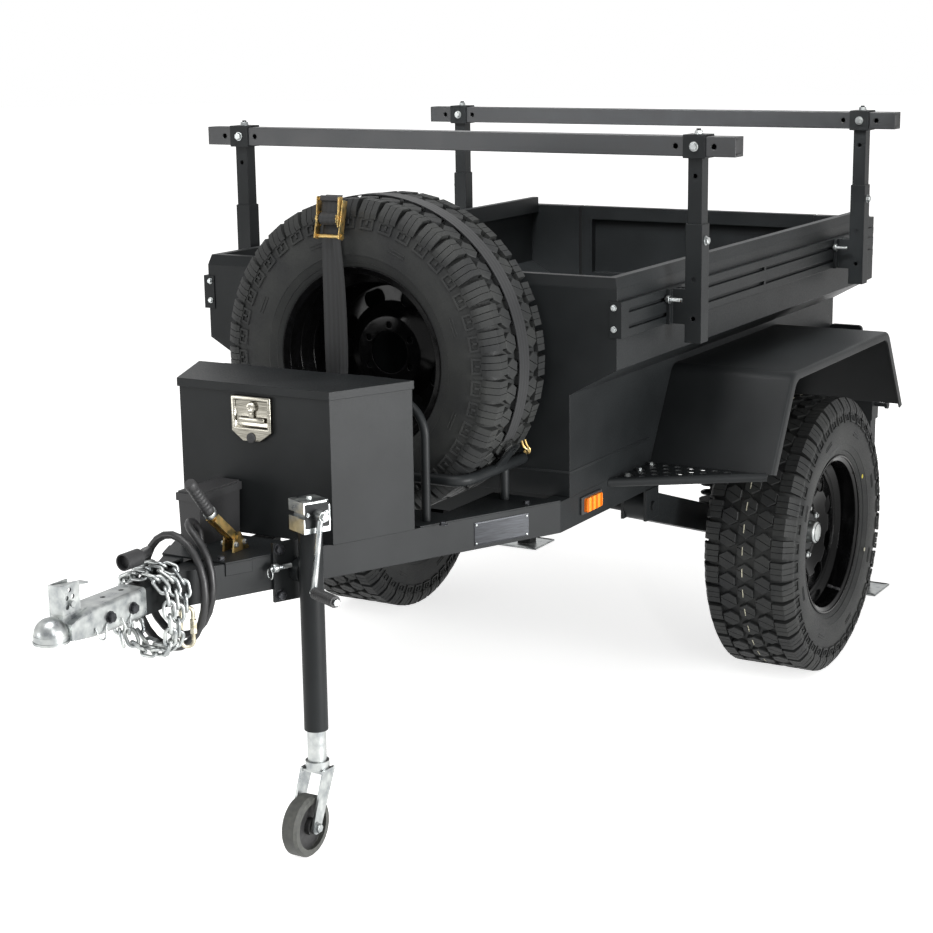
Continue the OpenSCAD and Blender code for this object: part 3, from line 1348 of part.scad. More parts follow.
side_rails();
drawbar_rails();
cross_members();
tongue_tube();
drawbar_deck();
coupler();
coupler_latch();
tool_box();
tool_box_latch();
tool_box_lid();
battery_box();
handbrake_lever();
tub_front();
tub_left();
tub_right();
tub_floor();
top_rim();
rear_frame();
tailgate();
gate_hinges();
side_tracks();
left_fender();
right_fender();
left_step();
right_step();
rack_lower_posts();
rack_upper_posts();
rack_bars();
spare_tyre();
spare_rim();
spare_carrier();
spare_strap();
strap_ratchet();
trailing_arms();
arm_hangers();
stub_axles();
shock_absorbers();
left_tyre();
left_rim();
left_hub();
right_tyre();
right_rim();
right_hub();
side_markers();
tail_lamps();
leg_sleeves();
left_leg();
right_leg();
jack_plate();
jack_body();
jack_head();
jack_crank();
crank_grip();
jack_inner();
caster_fork();
caster_wheel();
safety_chain();
quick_link();
trailer_cable();
trailer_plug();
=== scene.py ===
import bpy
import json
import math
from mathutils import Matrix, Vector


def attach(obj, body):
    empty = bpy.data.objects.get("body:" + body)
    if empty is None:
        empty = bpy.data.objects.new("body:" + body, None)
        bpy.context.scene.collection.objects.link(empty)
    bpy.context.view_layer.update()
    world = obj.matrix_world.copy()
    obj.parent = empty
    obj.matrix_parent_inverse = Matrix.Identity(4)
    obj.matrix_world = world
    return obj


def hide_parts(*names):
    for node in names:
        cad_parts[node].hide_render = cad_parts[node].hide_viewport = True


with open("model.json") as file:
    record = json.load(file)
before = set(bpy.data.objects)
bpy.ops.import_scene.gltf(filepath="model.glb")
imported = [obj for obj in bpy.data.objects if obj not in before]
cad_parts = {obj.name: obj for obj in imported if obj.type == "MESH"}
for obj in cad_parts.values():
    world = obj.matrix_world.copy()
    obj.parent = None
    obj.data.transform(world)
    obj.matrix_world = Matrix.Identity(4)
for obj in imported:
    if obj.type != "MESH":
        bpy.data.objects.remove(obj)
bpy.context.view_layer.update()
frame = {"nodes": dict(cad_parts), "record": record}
nodes = frame["nodes"]
scene = bpy.context.scene
print("frame loaded:", len(nodes), "nodes")

tubShift = -250.5      # mm along Y from the tub's front sheet to the frame's origin
railLean = 25.3        # degrees between the drawbar rails and the middle line
railBend = (490, -50)  # where a drawbar rail's outer face meets the side rail


# a place in the tub's mm, measured from its front sheet, as a point of the frame
def at(x, y, z):
    return Vector((x, y + tubShift, z)) / 1000


def mm(*values):
    return Vector(values) / 1000


def placed(x, y, z):
    return Matrix.Translation(at(x, y, z))


def moved(x, y, z):
    return Matrix.Translation(mm(x, y, z))


def turnedBy(degrees, axis):
    return Matrix.Rotation(math.radians(degrees), 4, axis)


# Z along a normal, at a point of the frame
def facing(point, normal, spin=0.0):
    turn = Vector(normal).to_track_quat("Z", "Y").to_matrix().to_4x4()
    return Matrix.Translation(point) @ turn @ turnedBy(spin, "Z")


# a point that stands proud of the drawbar rail's outer face
def onRail(y, z, proud):
    lean = math.radians(railLean)
    faceX = railBend[0] + (y - railBend[1]) * math.tan(lean)
    return at(faceX + proud * math.cos(lean), y - proud * math.sin(lean), z)


toAxis = turnedBy(90, "Y")  # what was turned about Z lies along X


def leaveEdit():
    bpy.ops.object.mode_set(mode="OBJECT")


def selectAll():
    bpy.ops.mesh.select_all(action="SELECT")


# the selected faces, or edges, drawn out by a step
def drawOut(step):
    bpy.ops.mesh.extrude_region_move(TRANSFORM_OT_translate={"value": step})


def drawEdges(step):
    bpy.ops.mesh.extrude_edges_move(TRANSFORM_OT_translate={"value": step})


def clearAll():
    if bpy.context.object and bpy.context.object.mode != "OBJECT":
        leaveEdit()
    bpy.ops.object.select_all(action="DESELECT")


def takeUp(obj):
    clearAll()
    obj.select_set(True)
    bpy.context.view_layer.objects.active = obj
    return obj


# edit mode, with the faces selected whose middle and normal pass the test
def pickFaces(obj, test):
    takeUp(obj)
    bpy.ops.object.mode_set(mode="EDIT")
    bpy.ops.mesh.select_mode(type="FACE")
    bpy.ops.mesh.select_all(action="DESELECT")
    leaveEdit()
    for face in obj.data.polygons:
        face.select = bool(test(face.center, face.normal))
    bpy.ops.object.mode_set(mode="EDIT")


def settle(obj, place=None):
    takeUp(obj)
    if place is not None:
        obj.matrix_world = place
    bpy.ops.object.transform_apply(location=True, rotation=True, scale=True)
    return obj


# a block with every edge bevelled, sizes in mm, about the origin or at its place
def cutBlock(sizes, bevel, segments=2, place=None):
    clearAll()
    bpy.ops.mesh.primitive_cube_add(size=1, scale=mm(*sizes))
    obj = settle(bpy.context.object)
    bpy.ops.object.mode_set(mode="EDIT")
    selectAll()
    bpy.ops.mesh.bevel(offset=bevel / 1000, segments=segments, affect="EDGES")
    leaveEdit()
    if place is not None:
        obj.data.transform(place)
    return obj


# a block's face set in behind a narrow rim; across is the direction in which only middle faces count
def sunkFace(block, outward, across, rim, depth):
    out, side = Vector(outward), Vector(across)
    pickFaces(block, lambda middle, normal: normal.dot(out) > 0.9 and abs(middle.dot(side)) < 0.01)
    bpy.ops.mesh.inset(thickness=rim / 1000)
    bpy.ops.transform.translate(value=out * -depth / 1000)
    leaveEdit()
    return block


# edit mode, with a line of edges drawn through points of the frame
def drawnLine(points):
    clearAll()
    bpy.ops.mesh.primitive_plane_add(size=0.001)
    obj = bpy.context.object
    bpy.ops.object.mode_set(mode="EDIT")
    bpy.ops.mesh.select_mode(type="VERT")
    selectAll()
    bpy.ops.mesh.merge(type="CENTER")
    bpy.ops.transform.translate(value=points[0])
    for here, there in zip(points, points[1:]):
        bpy.ops.mesh.extrude_vertices_move(TRANSFORM_OT_translate={"value": there - here})
    selectAll()
    return obj


# a turned shape from (radius, height) points in mm, about Z
def turned(profile, steps=32, closed=False):
    obj = drawnLine([mm(r, 0, h) for r, h in (profile + profile[:1] if closed else profile)])
    bpy.ops.mesh.remove_doubles(threshold=0.000001)
    bpy.ops.mesh.spin(steps=steps, angle=math.tau, center=(0, 0, 0), axis=(0, 0, 1))
    selectAll()
    bpy.ops.mesh.remove_doubles(threshold=0.00002)
    bpy.ops.mesh.normals_make_consistent(inside=False)
    leaveEdit()
    return obj


# a chamfered hexagon head on its washer, standing on the origin along Z
def hexHead(across, high, washer=2.0):
    clearAll()
    bpy.ops.mesh.primitive_cylinder_add(
        vertices=6, radius=across / 1732, depth=high / 1000, location=mm(0, 0, washer + high / 2))
    obj = settle(bpy.context.object)
    pickFaces(obj, lambda middle, normal: normal.z > 0.9)
    bpy.ops.mesh.bevel(offset=across * 0.09 / 1000, segments=1, affect="EDGES")
    bpy.ops.mesh.primitive_cylinder_add(
        vertices=20, radius=across * 0.72 / 1000, depth=washer / 1000, location=mm(0, 0, washer / 2))
    bpy.ops.mesh.bevel(offset=washer * 0.2 / 1000, segments=1, affect="EDGES")
    leaveEdit()
    return obj


# a round wire through points of the frame
def bentWire(points, radius, closed=False):
    clearAll()
    line = bpy.data.curves.new("wireLine", "CURVE")
    line.dimensions = "3D"
    line.bevel_depth = radius / 1000
    line.bevel_resolution = 3
    line.use_fill_caps = not closed
    line.resolution_u = 6
    run = line.splines.new("BEZIER")
    run.bezier_points.add(len(points) - 1)
    for knot, point in zip(run.bezier_points, points):
        knot.co = point
        knot.handle_left_type = knot.handle_right_type = "AUTO"
    run.use_cyclic_u = closed
    obj = bpy.data.objects.new("wire", line)
    bpy.context.collection.objects.link(obj)
    takeUp(obj)
    bpy.ops.object.convert(target="MESH")
    return bpy.context.object


def joined(parts):
    clearAll()
    for part in parts:
        part.select_set(True)
    bpy.context.view_layer.objects.active = parts[0]
    if len(parts) > 1:
        bpy.ops.object.join()
    return bpy.context.object


# a copy with its own mesh at a place
def twinOf(pattern, place):
    twin = pattern.copy()
    twin.data = pattern.data.copy()
    twin.data.transform(place)
    bpy.context.collection.objects.link(twin)
    return twin


# one pattern copied to every place, then joined as one piece
def stamped(pattern, places):
    twins = [twinOf(pattern, place) for place in places]
    bpy.data.objects.remove(pattern)
    return joined(twins)


# the slot follows from the material, see slotOf
def keepPiece(obj, name, material, body, smooth=35, place=None):
    if place is not None:
        obj.data.transform(place)
    settle(obj)
    bpy.ops.object.mode_set(mode="EDIT")
    selectAll()
    bpy.ops.mesh.remove_doubles(threshold=0.000005)
    bpy.ops.mesh.normals_make_consistent(inside=False)
    leaveEdit()
    bpy.ops.object.shade_smooth_by_angle(angle=math.radians(smooth))
    obj.name = name
    obj.data.name = name
    obj.data.materials.clear()
    obj.data.materials.append(material)
    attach(obj, body)
    return obj


# an sRGB hex code as a linear colour
def linear(code):
    parts = [int(code[i:i + 2], 16) / 255 for i in (1, 3, 5)]
    return tuple(v / 12.92 if v <= 0.04045 else ((v + 0.055) / 1.055) ** 2.4 for v in parts) + (1.0,)


# one node with its settings; inputs take a value or another node's output, stops place a ramp's colours
def addNode(material, kind, inputs=(), stops=(), **settings):
    tree = material.node_tree
    node = tree.nodes.new(kind)
    for key, value in settings.items():
        setattr(node, key, value)
    for key, value in dict(inputs).items():
        if isinstance(value, bpy.types.NodeSocket):
            tree.links.new(value, node.inputs[key])
        else:
            node.inputs[key].default_value = value
    for i, (spot, colour) in enumerate(stops):
        mark = node.color_ramp.elements[i] if i < 2 else node.color_ramp.elements.new(spot)
        mark.position = spot
        mark.color = colour
    return node


# a fresh material with its shader, and the place on the piece in metres
def newMaterial(name, **sockets):
    material = bpy.data.materials.new(name)
    material.use_nodes = True
    shader = material.node_tree.nodes["Principled BSDF"]
    for key, value in sockets.items():
        shader.inputs[key.replace("_", " ")].default_value = value
    place = addNode(material, "ShaderNodeTexCoord").outputs["Object"]
    return material, shader, place


def wire(material, source, target):
    material.node_tree.links.new(source, target)


# features per metre for a pattern of that size in mm
def every(size):
    return 1000 / size


# the same for the bands of a wave texture
def everyBand(size):
    return every(size) / 6.28


# colours as ramp stops, and a plain level from low to high
def toneStops(low, high, spots=(0.3, 0.7)):
    return [(spots[0], linear(low)), (spots[1], linear(high))]


def levelStops(low, high, spots=(0.3, 0.7)):
    return [(spots[0], (low,) * 4), (spots[1], (high,) * 4)]


# colour from the cloud field, roughness and relief from a named field:
# rough is (field, low, high), bump is (field, strength, metres), edge rounds the corners by so many mm
def dress(material, shader, fields, tones, rough=None, bump=None, edge=0):
    colour = addNode(material, "ShaderNodeValToRGB", {"Fac": fields["cloud"]}, stops=tones)
    wire(material, colour.outputs["Color"], shader.inputs["Base Color"])
    if rough:
        stops = levelStops(*rough[1:])
        level = addNode(material, "ShaderNodeValToRGB", {"Fac": fields[rough[0]]}, stops=stops)
        wire(material, level.outputs["Color"], shader.inputs["Roughness"])
    if bump:
        relief = addNode(material, "ShaderNodeBump", {
            "Height": fields[bump[0]], "Strength": bump[1], "Distance": bump[2]})
        wire(material, relief.outputs["Normal"], shader.inputs["Normal"])
        if edge:
            rounded = addNode(material, "ShaderNodeBevel", {"Radius": edge / 1000}, samples=6)
            wire(material, rounded.outputs["Normal"], relief.inputs["Normal"])
    return material


# a whole finish from noises, cloud and grain, each given as (mm, detail)
def mixFinish(name, cloud, tones, rough=None, grain=None, bump=None, edge=0, stretch=None, **sockets):
    material, shader, place = newMaterial(name, **sockets)
    if stretch:
        place = addNode(material, "ShaderNodeMapping", {"Vector": place, "Scale": stretch}).outputs["Vector"]
    fields = {}
    for key, field in (("cloud", cloud), ("grain", grain)):
        if field:
            fields[key] = addNode(material, "ShaderNodeTexNoise", {
                "Vector": place, "Scale": every(field[0]), "Detail": field[1]}).outputs["Fac"]
    return dress(material, shader, fields, tones, rough, bump, edge)


# fine powder coat: sprayed and baked, so it is matt with a sandy orange peel, a faint cloud in its black
# and rounded cut edges; the grit is drawn coarser than the real one, to show
powderCoat = mixFinish(
    "satinPowderCoat", (180, 3.0), toneStops("#121415", "#1c1e1f"), ("grain", 0.40, 0.52), grain=(3, 2.0),
    bump=("grain", 0.16, 0.0006), edge=2.2, Specular_IOR_Level=0.16)

# rack tube paint: the same black, smoother and with more sheen, on drawn tube with round corners
barPaint = mixFinish(
    "sheenTubePaint", (60, 3.0), toneStops("#17181a", "#202224"), ("cloud", 0.34, 0.44), grain=(2.5, 2.0),
    bump=("grain", 0.1, 0.0005), edge=4, Specular_IOR_Level=0.55)

# stoved enamel on pressed steel wheels: deep black with a wet gloss and slow ripples, full at the edges
glossEnamel = mixFinish(
    "stovedEnamel", (22, 1.0), toneStops("#060606", "#0b0b0c"), ("cloud", 0.10, 0.17),
    bump=("cloud", 0.05, 0.001), edge=4, Specular_IOR_Level=0.12)

# bright zinc plate on steel: cool white metal, clouded by the bath, with a soft drawn grain
brightZinc = mixFinish(
    "brightZinc", (26, 4.0), toneStops("#868a8c", "#bbbebc"), ("cloud", 0.26, 0.42), grain=(2.5, 2.0),
    bump=("grain", 0.08, 0.0004), Metallic=1.0)

# yellow passivated zinc: a brassy film that drifts from straw to rose and green
yellowPassivate = mixFinish(
    "yellowPassivate", (14, 3.0),
    [(0.30, linear("#8a8260")), (0.55, linear("#b99c62")), (0.75, linear("#a8845c"))],
    ("cloud", 0.28, 0.44), Metallic=1.0)

# nickel flash on the quick link: warm grey metal with a straw cast
paleNickel = mixFinish(
    "strawNickel", (12, 3.0), toneStops("#a39c86", "#c4bfae"), ("cloud", 0.24, 0.36), Metallic=1.0)

# polished stainless latch: mirror bright, with the fine lines of the mop
stainless = mixFinish(
    "moppedStainless", (30, 3.0), toneStops("#67645c", "#a5a298"), ("cloud", 0.10, 0.20),
    stretch=(1, 1, 24), Metallic=1.0)

# moulded tyre rubber: dull carbon black, greyer where dust and release agent lie
tyreRubber = mixFinish(
    "mouldedTyreRubber", (90, 5.0), toneStops("#1a1b1c", "#292a29"), ("grain", 0.52, 0.70), grain=(4, 3.0),
    bump=("grain", 0.18, 0.0006), Specular_IOR_Level=0.25)

# black oxide fasteners: oiled dark steel, a shade glossier than the coat round them
blackOxide = mixFinish(
    "oiledBlackOxide", (9, 2.0), toneStops("#232427", "#38393c"), ("cloud", 0.28, 0.42), Metallic=0.7)

# PVC cable sheath: extruded black, slightly greasy, with the lay of the cores showing faintly
cableSheath = mixFinish(
    "extrudedPvcSheath", (16, 2.0), toneStops("#161617", "#1c1c1d"), ("cloud", 0.34, 0.50),
    Specular_IOR_Level=0.45)

# lacquered aluminium plate, blank: a dark satin face with brushed streaks
plateLacquer = mixFinish(
    "lacqueredPlate", (40, 2.0), toneStops("#1d1e20", "#34363a"), ("cloud", 0.30, 0.42),
    stretch=(1, 1, 30), Metallic=0.6)

# crayon and paint marks on new tyres: chalky, broken by the rubber's skin
chalkPaint = mixFinish("chalkyMarkingPaint", (5, 4.0), toneStops("#8d8a78", "#d6d2bd"), Roughness=0.9)
yellowPaint = mixFinish("yellowMarkingPaint", (4, 3.0), toneStops("#a89a26", "#d6c83a"), Roughness=0.8)

# jockey wheel: grey solid rubber ring on a black moulded centre, told apart by the distance from its axle
caster = {"axle": (224.5, -822, 72), "core": 53}
jockeyRubber, shader, place = newMaterial("solidGreyRubber")
toAxle = addNode(jockeyRubber, "ShaderNodeMapping", {"Vector": place, "Location": -at(*caster["axle"])})
flat = addNode(jockeyRubber, "ShaderNodeVectorMath", {
    0: toAxle.outputs["Vector"], 1: (0, 1, 1)}, operation="MULTIPLY")
reach = addNode(jockeyRubber, "ShaderNodeVectorMath", {0: flat.outputs["Vector"]}, operation="LENGTH")
ring = addNode(jockeyRubber, "ShaderNodeMath", {
    0: reach.outputs["Value"], 1: caster["core"] / 1000}, operation="GREATER_THAN")
scuff = addNode(jockeyRubber, "ShaderNodeTexNoise", {"Vector": place, "Scale": every(12), "Detail": 4.0})
grey = addNode(jockeyRubber, "ShaderNodeValToRGB", {"Fac": scuff.outputs["Fac"]},
               stops=toneStops("#2c2d2b", "#444541"))
tone = addNode(jockeyRubber, "ShaderNodeMixRGB", {
    "Fac": ring.outputs["Value"], "Color1": linear("#121213"), "Color2": grey.outputs["Color"]})
wire(jockeyRubber, tone.outputs["Color"], shader.inputs["Base Color"])
worn = addNode(jockeyRubber, "ShaderNodeValToRGB", {"Fac": scuff.outputs["Fac"]}, stops=levelStops(0.5, 0.66))
wire(jockeyRubber, worn.outputs["Color"], shader.inputs["Roughness"])

# black ABS mouldings: battery box, plug, grips and bases, with a leathery spark-eroded grain
mouldedPlastic, shader, place = newMaterial("grainedAbs", Specular_IOR_Level=0.4)
leather = addNode(mouldedPlastic, "ShaderNodeTexVoronoi", {"Vector": place, "Scale": every(3)})
dress(mouldedPlastic, shader, {"cloud": leather.outputs["Distance"]},
      toneStops("#1c1c1d", "#29292a", (0.1, 0.8)), ("cloud", 0.46, 0.58, (0.1, 0.8)), ("cloud", 0.12, 0.0005))


# acrylic lenses: clear colour with upright prism ribs inside
def lensMaterial(name, low, high):
    material, shader, place = newMaterial(
        name, Roughness=0.16, Transmission_Weight=0.06, Specular_IOR_Level=0.35)
    turn = addNode(material, "ShaderNodeMapping", {"Vector": place, "Rotation": (0, 0, math.radians(45))})
    ribs = addNode(material, "ShaderNodeTexWave", {
        "Vector": turn.outputs["Vector"], "Scale": everyBand(9)}, wave_type="BANDS")
    return dress(material, shader, {"cloud": ribs.outputs["Fac"]}, toneStops(low, high, (0.1, 0.9)),
                 bump=("cloud", 0.3, 0.001))


amberLens = lensMaterial("amberAcrylic", "#c25a10", "#e8902c")
redLens = lensMaterial("redAcrylic", "#5a0a0c", "#9c1618")

# polyester webbing: grey ribs along the strap, crossed by fuzz, drawn at 7 mm to show;
# the ribs count across X on the hanging ends and across Y on the band behind them
tailBefore = -190
strapWebbing, shader, place = newMaterial(
    "polyesterWebbing", Sheen_Weight=0.08, Roughness=0.6, Specular_IOR_Level=0.4)
parts = addNode(strapWebbing, "ShaderNodeSeparateXYZ", {"Vector": place})
onTail = addNode(strapWebbing, "ShaderNodeMath", {
    0: parts.outputs["Y"], 1: at(0, tailBefore, 0).y}, operation="LESS_THAN")
across = addNode(strapWebbing, "ShaderNodeMix", {
    "Factor": onTail.outputs["Value"], "A": parts.outputs["Y"], "B": parts.outputs["X"]}, data_type="FLOAT")
spread = addNode(strapWebbing, "ShaderNodeCombineXYZ", {
    "X": across.outputs["Result"], "Y": parts.outputs["Z"]})
warp = addNode(strapWebbing, "ShaderNodeTexWave", {
    "Vector": spread.outputs["Vector"], "Scale": everyBand(7)}, wave_type="BANDS")
fuzz = addNode(strapWebbing, "ShaderNodeTexNoise", {"Vector": place, "Scale": every(3), "Detail": 3.0})
cloth = addNode(strapWebbing, "ShaderNodeMath", {
    0: warp.outputs["Fac"], 1: fuzz.outputs["Fac"]}, operation="MULTIPLY")
dress(strapWebbing, shader, {"cloud": cloth.outputs["Value"]}, toneStops("#0b0c0d", "#191a1c", (0.05, 0.7)),
      bump=("cloud", 0.4, 0.001))
print("materials mixed")

slotFinish = {
    "powder_coat": powderCoat, "gloss_black": glossEnamel, "zinc": brightZinc, "stainless": stainless,
    "yellow_zinc": yellowPassivate, "tyre": tyreRubber, "rubber": jockeyRubber, "plastic": mouldedPlastic,
    "amber": amberLens, "red": redLens, "webbing": strapWebbing,
}
slotOf = {coat: slot for slot, coat in slotFinish.items()}
slotOf.update({
    blackOxide: "powder_coat", plateLacquer: "powder_coat", chalkPaint: "tyre", yellowPaint: "tyre"})
nodeFinish = {part["node"]: slotFinish[part["material_slot"]] for part in frame["record"]["subparts"]}
nodeFinish.update({"trailer_cable": cableSheath, "rack_bars": barPaint, "quick_link": paleNickel})
for node, coat in nodeFinish.items():
    for spot in nodes[node].material_slots:
        spot.material = coat
print("solids painted")

# camera at the photograph's place
view = {
    "azimuth": 30.196, "elevation": 12.867, "roll": -0.803, "lens": 76.49, "eye": (2709.9, -4330.7, 1894.5)}
az, el, ro = (math.radians(view[k]) for k in ("azimuth", "elevation", "roll"))
back = Vector((math.sin(az) * math.cos(el), -math.cos(az) * math.cos(el), math.sin(el)))
right = Vector((math.cos(az), math.sin(az), 0))
up = back.cross(right)
tiltRight = right * math.cos(ro) + up * math.sin(ro)
tiltUp = up * math.cos(ro) - right * math.sin(ro)
lens = bpy.data.cameras.new("photoLens")
lens.lens = view["lens"]
lens.sensor_width = 36
cameraSpot = bpy.data.objects.new("photoCamera", lens)
bpy.context.collection.objects.link(cameraSpot)
turn = Matrix((tiltRight, tiltUp, back)).transposed().to_4x4()
cameraSpot.matrix_world = placed(*view["eye"]) @ turn
scene.camera = cameraSpot
print("camera set")

# trailer lead: up from its gland, two turns round the drawbar's nose, then over the top to its plug
lead = {
    "radius": 9, "turnSteps": 24, "firstStep": 3, "lastStep": 43, "turns": 2,
    "start": [(-8, -868, 726), (-8, -868, 737), (-8, -869, 750), (-8, -874, 764), (-8, -884, 777),
              (-6, -898, 786), (-1, -914, 790), (8, -929, 789), (21, -941, 783), (38, -947, 772)],
    "wide": (86, 94), "alongY": (-945, -1012), "middleZ": (665, 638), "high": (117, 130),
    "finish": [(-87, -1004, 692), (-79, -1006, 711), (-67, -1009, 727), (-52, -1014, 739), (-36, -1022, 746),
               (-23, -1034, 749), (-15, -1049, 749), (-13, -1060, 748), (-13, -1068, 748)],
}


def mixed(pair, share):
    return pair[0] + (pair[1] - pair[0]) * share


leadRoute = [at(*p) for p in lead["start"]]
for i in range(lead["firstStep"], lead["lastStep"] + 1):
    share = i / (lead["turns"] * lead["turnSteps"])
    swing = math.tau / lead["turnSteps"] * i
    leadRoute.append(at(mixed(lead["wide"], share) * math.sin(swing), mixed(lead["alongY"], share),
                        mixed(lead["middleZ"], share) + mixed(lead["high"], share) * math.cos(swing)))
leadRoute += [at(*p) for p in lead["finish"]]
leadCurve = bpy.data.curves.new("trailerLead", "CURVE")
leadCurve.dimensions = "3D"
leadCurve.bevel_depth = lead["radius"] / 1000
leadCurve.bevel_resolution = 4
leadCurve.use_fill_caps = True
leadRun = leadCurve.splines.new("POLY")
leadRun.points.add(len(leadRoute) - 1)
for knot, point in zip(leadRun.points, leadRoute):
    knot.co = (*point, 1)
leadRun.use_smooth = True
trailerLead = bpy.data.objects.new("trailerLead", leadCurve)
bpy.context.collection.objects.link(trailerLead)
trailerLead.data.materials.append(cableSheath)
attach(trailerLead, "chassis")
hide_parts("trailer_cable")

# all-terrain tyre: ringed casing, siped shoulder lugs that run down the sidewall, hexagon blocks between;
# lugBends are (out, down) steps, hexRows are (across, shift in pitches), spots are (across, radius)
tyre = {
    "pitches": 40, "steps": 120,
    "slab": (34, 15.2, 29), "slabAcross": 95, "slabStep": 16.8, "lugTop": 400.0, "lugTaper": 0.72,
    "taperBelow": 27, "lugBends": ((10, 7), (7.6, 14), (1.6, 6)), "middleDrop": 1.15,
    "hexRadius": 26.5, "hexHigh": 14, "hexChamfer": 1.4, "hexTop": 399.8, "hexLean": 24, "sipe": 1.8,
    "hexRows": ((-52, 0.0), (0, 0.5), (52, 0.0)),
    "tooth": (27, 38), "toothRim": 5, "toothHigh": 6, "toothBar": (15, 5.5, 6), "toothBarSpot": (-4, 0, 3),
    "toothSpot": (126.6, 343), "toothLean": -13,
    "arc": (2.6, 46, 2.4), "arcApart": 4, "arcSpot": (131.4, 300), "arcEvery": 5, "arcFirst": 2,
    "chalk": (2.4, 24, 0.6), "chalkAcross": -6,
    "outer": [(100, 220.5), (107, 224), (112, 234), (117.5, 243), (118.3, 246), (120.6, 246.8), (124.2, 256),
              (127, 264), (128.2, 265), (129.2, 272), (130.8, 284), (132, 298), (132.4, 312), (131.8, 326),
              (131.0, 330), (130.2, 336), (129.2, 340), (126.8, 352), (122.5, 365), (115, 376), (104, 384),
              (84, 387.6), (42, 388.6), (0, 389)],
    "inner": [(0, 372), (84, 371), (108, 362), (119, 344), (122, 312), (116, 272), (104, 244), (92, 228),
              (90, 221)],
}
otherSide = turnedBy(180, "Z")


# turned about the axle by so many pitches of the tread
def pitched(count):
    return turnedBy(360 / tyre["pitches"] * count, "X")


half = [(r, x) for x, r in tyre["outer"]]
lining = [(r, x) for x, r in tyre["inner"]]
section = half + [(r, -x) for r, x in reversed(half[:-1])]
section += [(r, -x) for r, x in reversed(lining)] + lining[1:]
casing = turned(section, tyre["steps"], closed=True)
casing.data.transform(toAxis)

# a shoulder lug: three slabs parted by sipes, each drawn round the shoulder in three bends
lugs = []
for step in (-1, 0, 1):
    clearAll()
    slabMiddle = mm(tyre["slabAcross"], step * tyre["slabStep"], tyre["lugTop"] - tyre["slab"][2] / 2)
    bpy.ops.mesh.primitive_cube_add(size=1, scale=mm(*tyre["slab"]), location=slabMiddle)
    slab = settle(bpy.context.object)
    pickFaces(slab, lambda middle, normal: normal.x > 0.9)
    for outward, down in tyre["lugBends"]:
        drop = down * (1.0 if step else tyre["middleDrop"])
        drawOut(mm(outward, 0, -drop))
        bpy.ops.transform.resize(value=(1, 1, tyre["lugTaper"]),
                                 center_override=mm(0, 0, tyre["lugTop"] - tyre["taperBelow"]))
    leaveEdit()
    lugs.append(slab)
lugPlaces = []
for i in range(tyre["pitches"]):
    lugPlaces += [pitched(i + 0.25), pitched(i - 0.25) @ otherSide]
shoulders = stamped(joined(lugs), lugPlaces)

# a centre block: a hexagon cut in two by a leaning sipe
clearAll()
bpy.ops.mesh.primitive_cylinder_add(vertices=6, radius=tyre["hexRadius"] / 1000, depth=tyre["hexHigh"] / 1000)
hexHalf = settle(bpy.context.object)
lean = math.radians(tyre["hexLean"])
cutNormal = Vector((math.sin(lean), math.cos(lean), 0))
pickFaces(hexHalf, lambda middle, normal: normal.z > 0.9)
bpy.ops.mesh.bevel(offset=tyre["hexChamfer"] / 1000, segments=1, affect="EDGES")
selectAll()
bpy.ops.mesh.bisect(plane_co=cutNormal * tyre["sipe"] / 2000, plane_no=cutNormal,
                    use_fill=True, clear_inner=True)
leaveEdit()
hexBlock = stamped(hexHalf, [Matrix.Identity(4), otherSide])
crown = stamped(hexBlock, [pitched(i + shift) @ moved(x, 0, tyre["hexTop"] - tyre["hexHigh"] / 2)
                           for x, shift in tyre["hexRows"] for i in range(tyre["pitches"])])

# sidewall: a ring of raised toothed frames under the lugs, and short double arcs nearer the bead
clearAll()
bpy.ops.mesh.primitive_plane_add(size=1)
frameTooth = settle(bpy.context.object, Matrix.Diagonal((*mm(*tyre["tooth"]), 1, 1)))
pickFaces(frameTooth, lambda middle, normal: True)
bpy.ops.mesh.inset(thickness=tyre["toothRim"] / 1000)
bpy.ops.mesh.delete(type="FACE")
selectAll()
drawOut(mm(0, 0, tyre["toothHigh"]))
leaveEdit()
tooth = joined([frameTooth, cutBlock(tyre["toothBar"], 0.6, 1, moved(*tyre["toothBarSpot"]))])
twinArc = stamped(cutBlock(tyre["arc"], 0.6, 1), [moved(s * tyre["arcApart"], 0, 1) for s in (-1, 1)])
toothPlaces, arcPlaces = [], []
for flip in (Matrix.Identity(4), otherSide):
    for i in range(tyre["pitches"]):
        swing = flip @ pitched(i + 0.25)
        toothX, toothRadius = tyre["toothSpot"]
        toothPlaces.append(swing @ moved(toothX, 0, toothRadius) @ toAxis @ turnedBy(tyre["toothLean"], "Y"))
        if i % tyre["arcEvery"] == tyre["arcFirst"]:
            arcX, arcRadius = tyre["arcSpot"]
            arcPlaces.append(swing @ moved(arcX, 0, arcRadius) @ toAxis)
teeth = stamped(tooth, toothPlaces)
arcs = stamped(twinArc, arcPlaces)
tyrePattern = joined([casing, shoulders, crown, teeth, arcs])
wheelPlaces = {
    "left": (placed(708, 1030, 401), "left_wheel"),
    "right": (placed(-708, 1030, 401) @ otherSide, "right_wheel"),
    "spare": (placed(40, -148, 1058) @ turnedBy(90, "Z"), "chassis"),
}
for side, (place, body) in wheelPlaces.items():
    twin = keepPiece(twinOf(tyrePattern, place), side + "TyreTread", tyreRubber, body, 30)
    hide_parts(side + "_tyre")
bpy.data.objects.remove(tyrePattern)
print("tyres moulded")

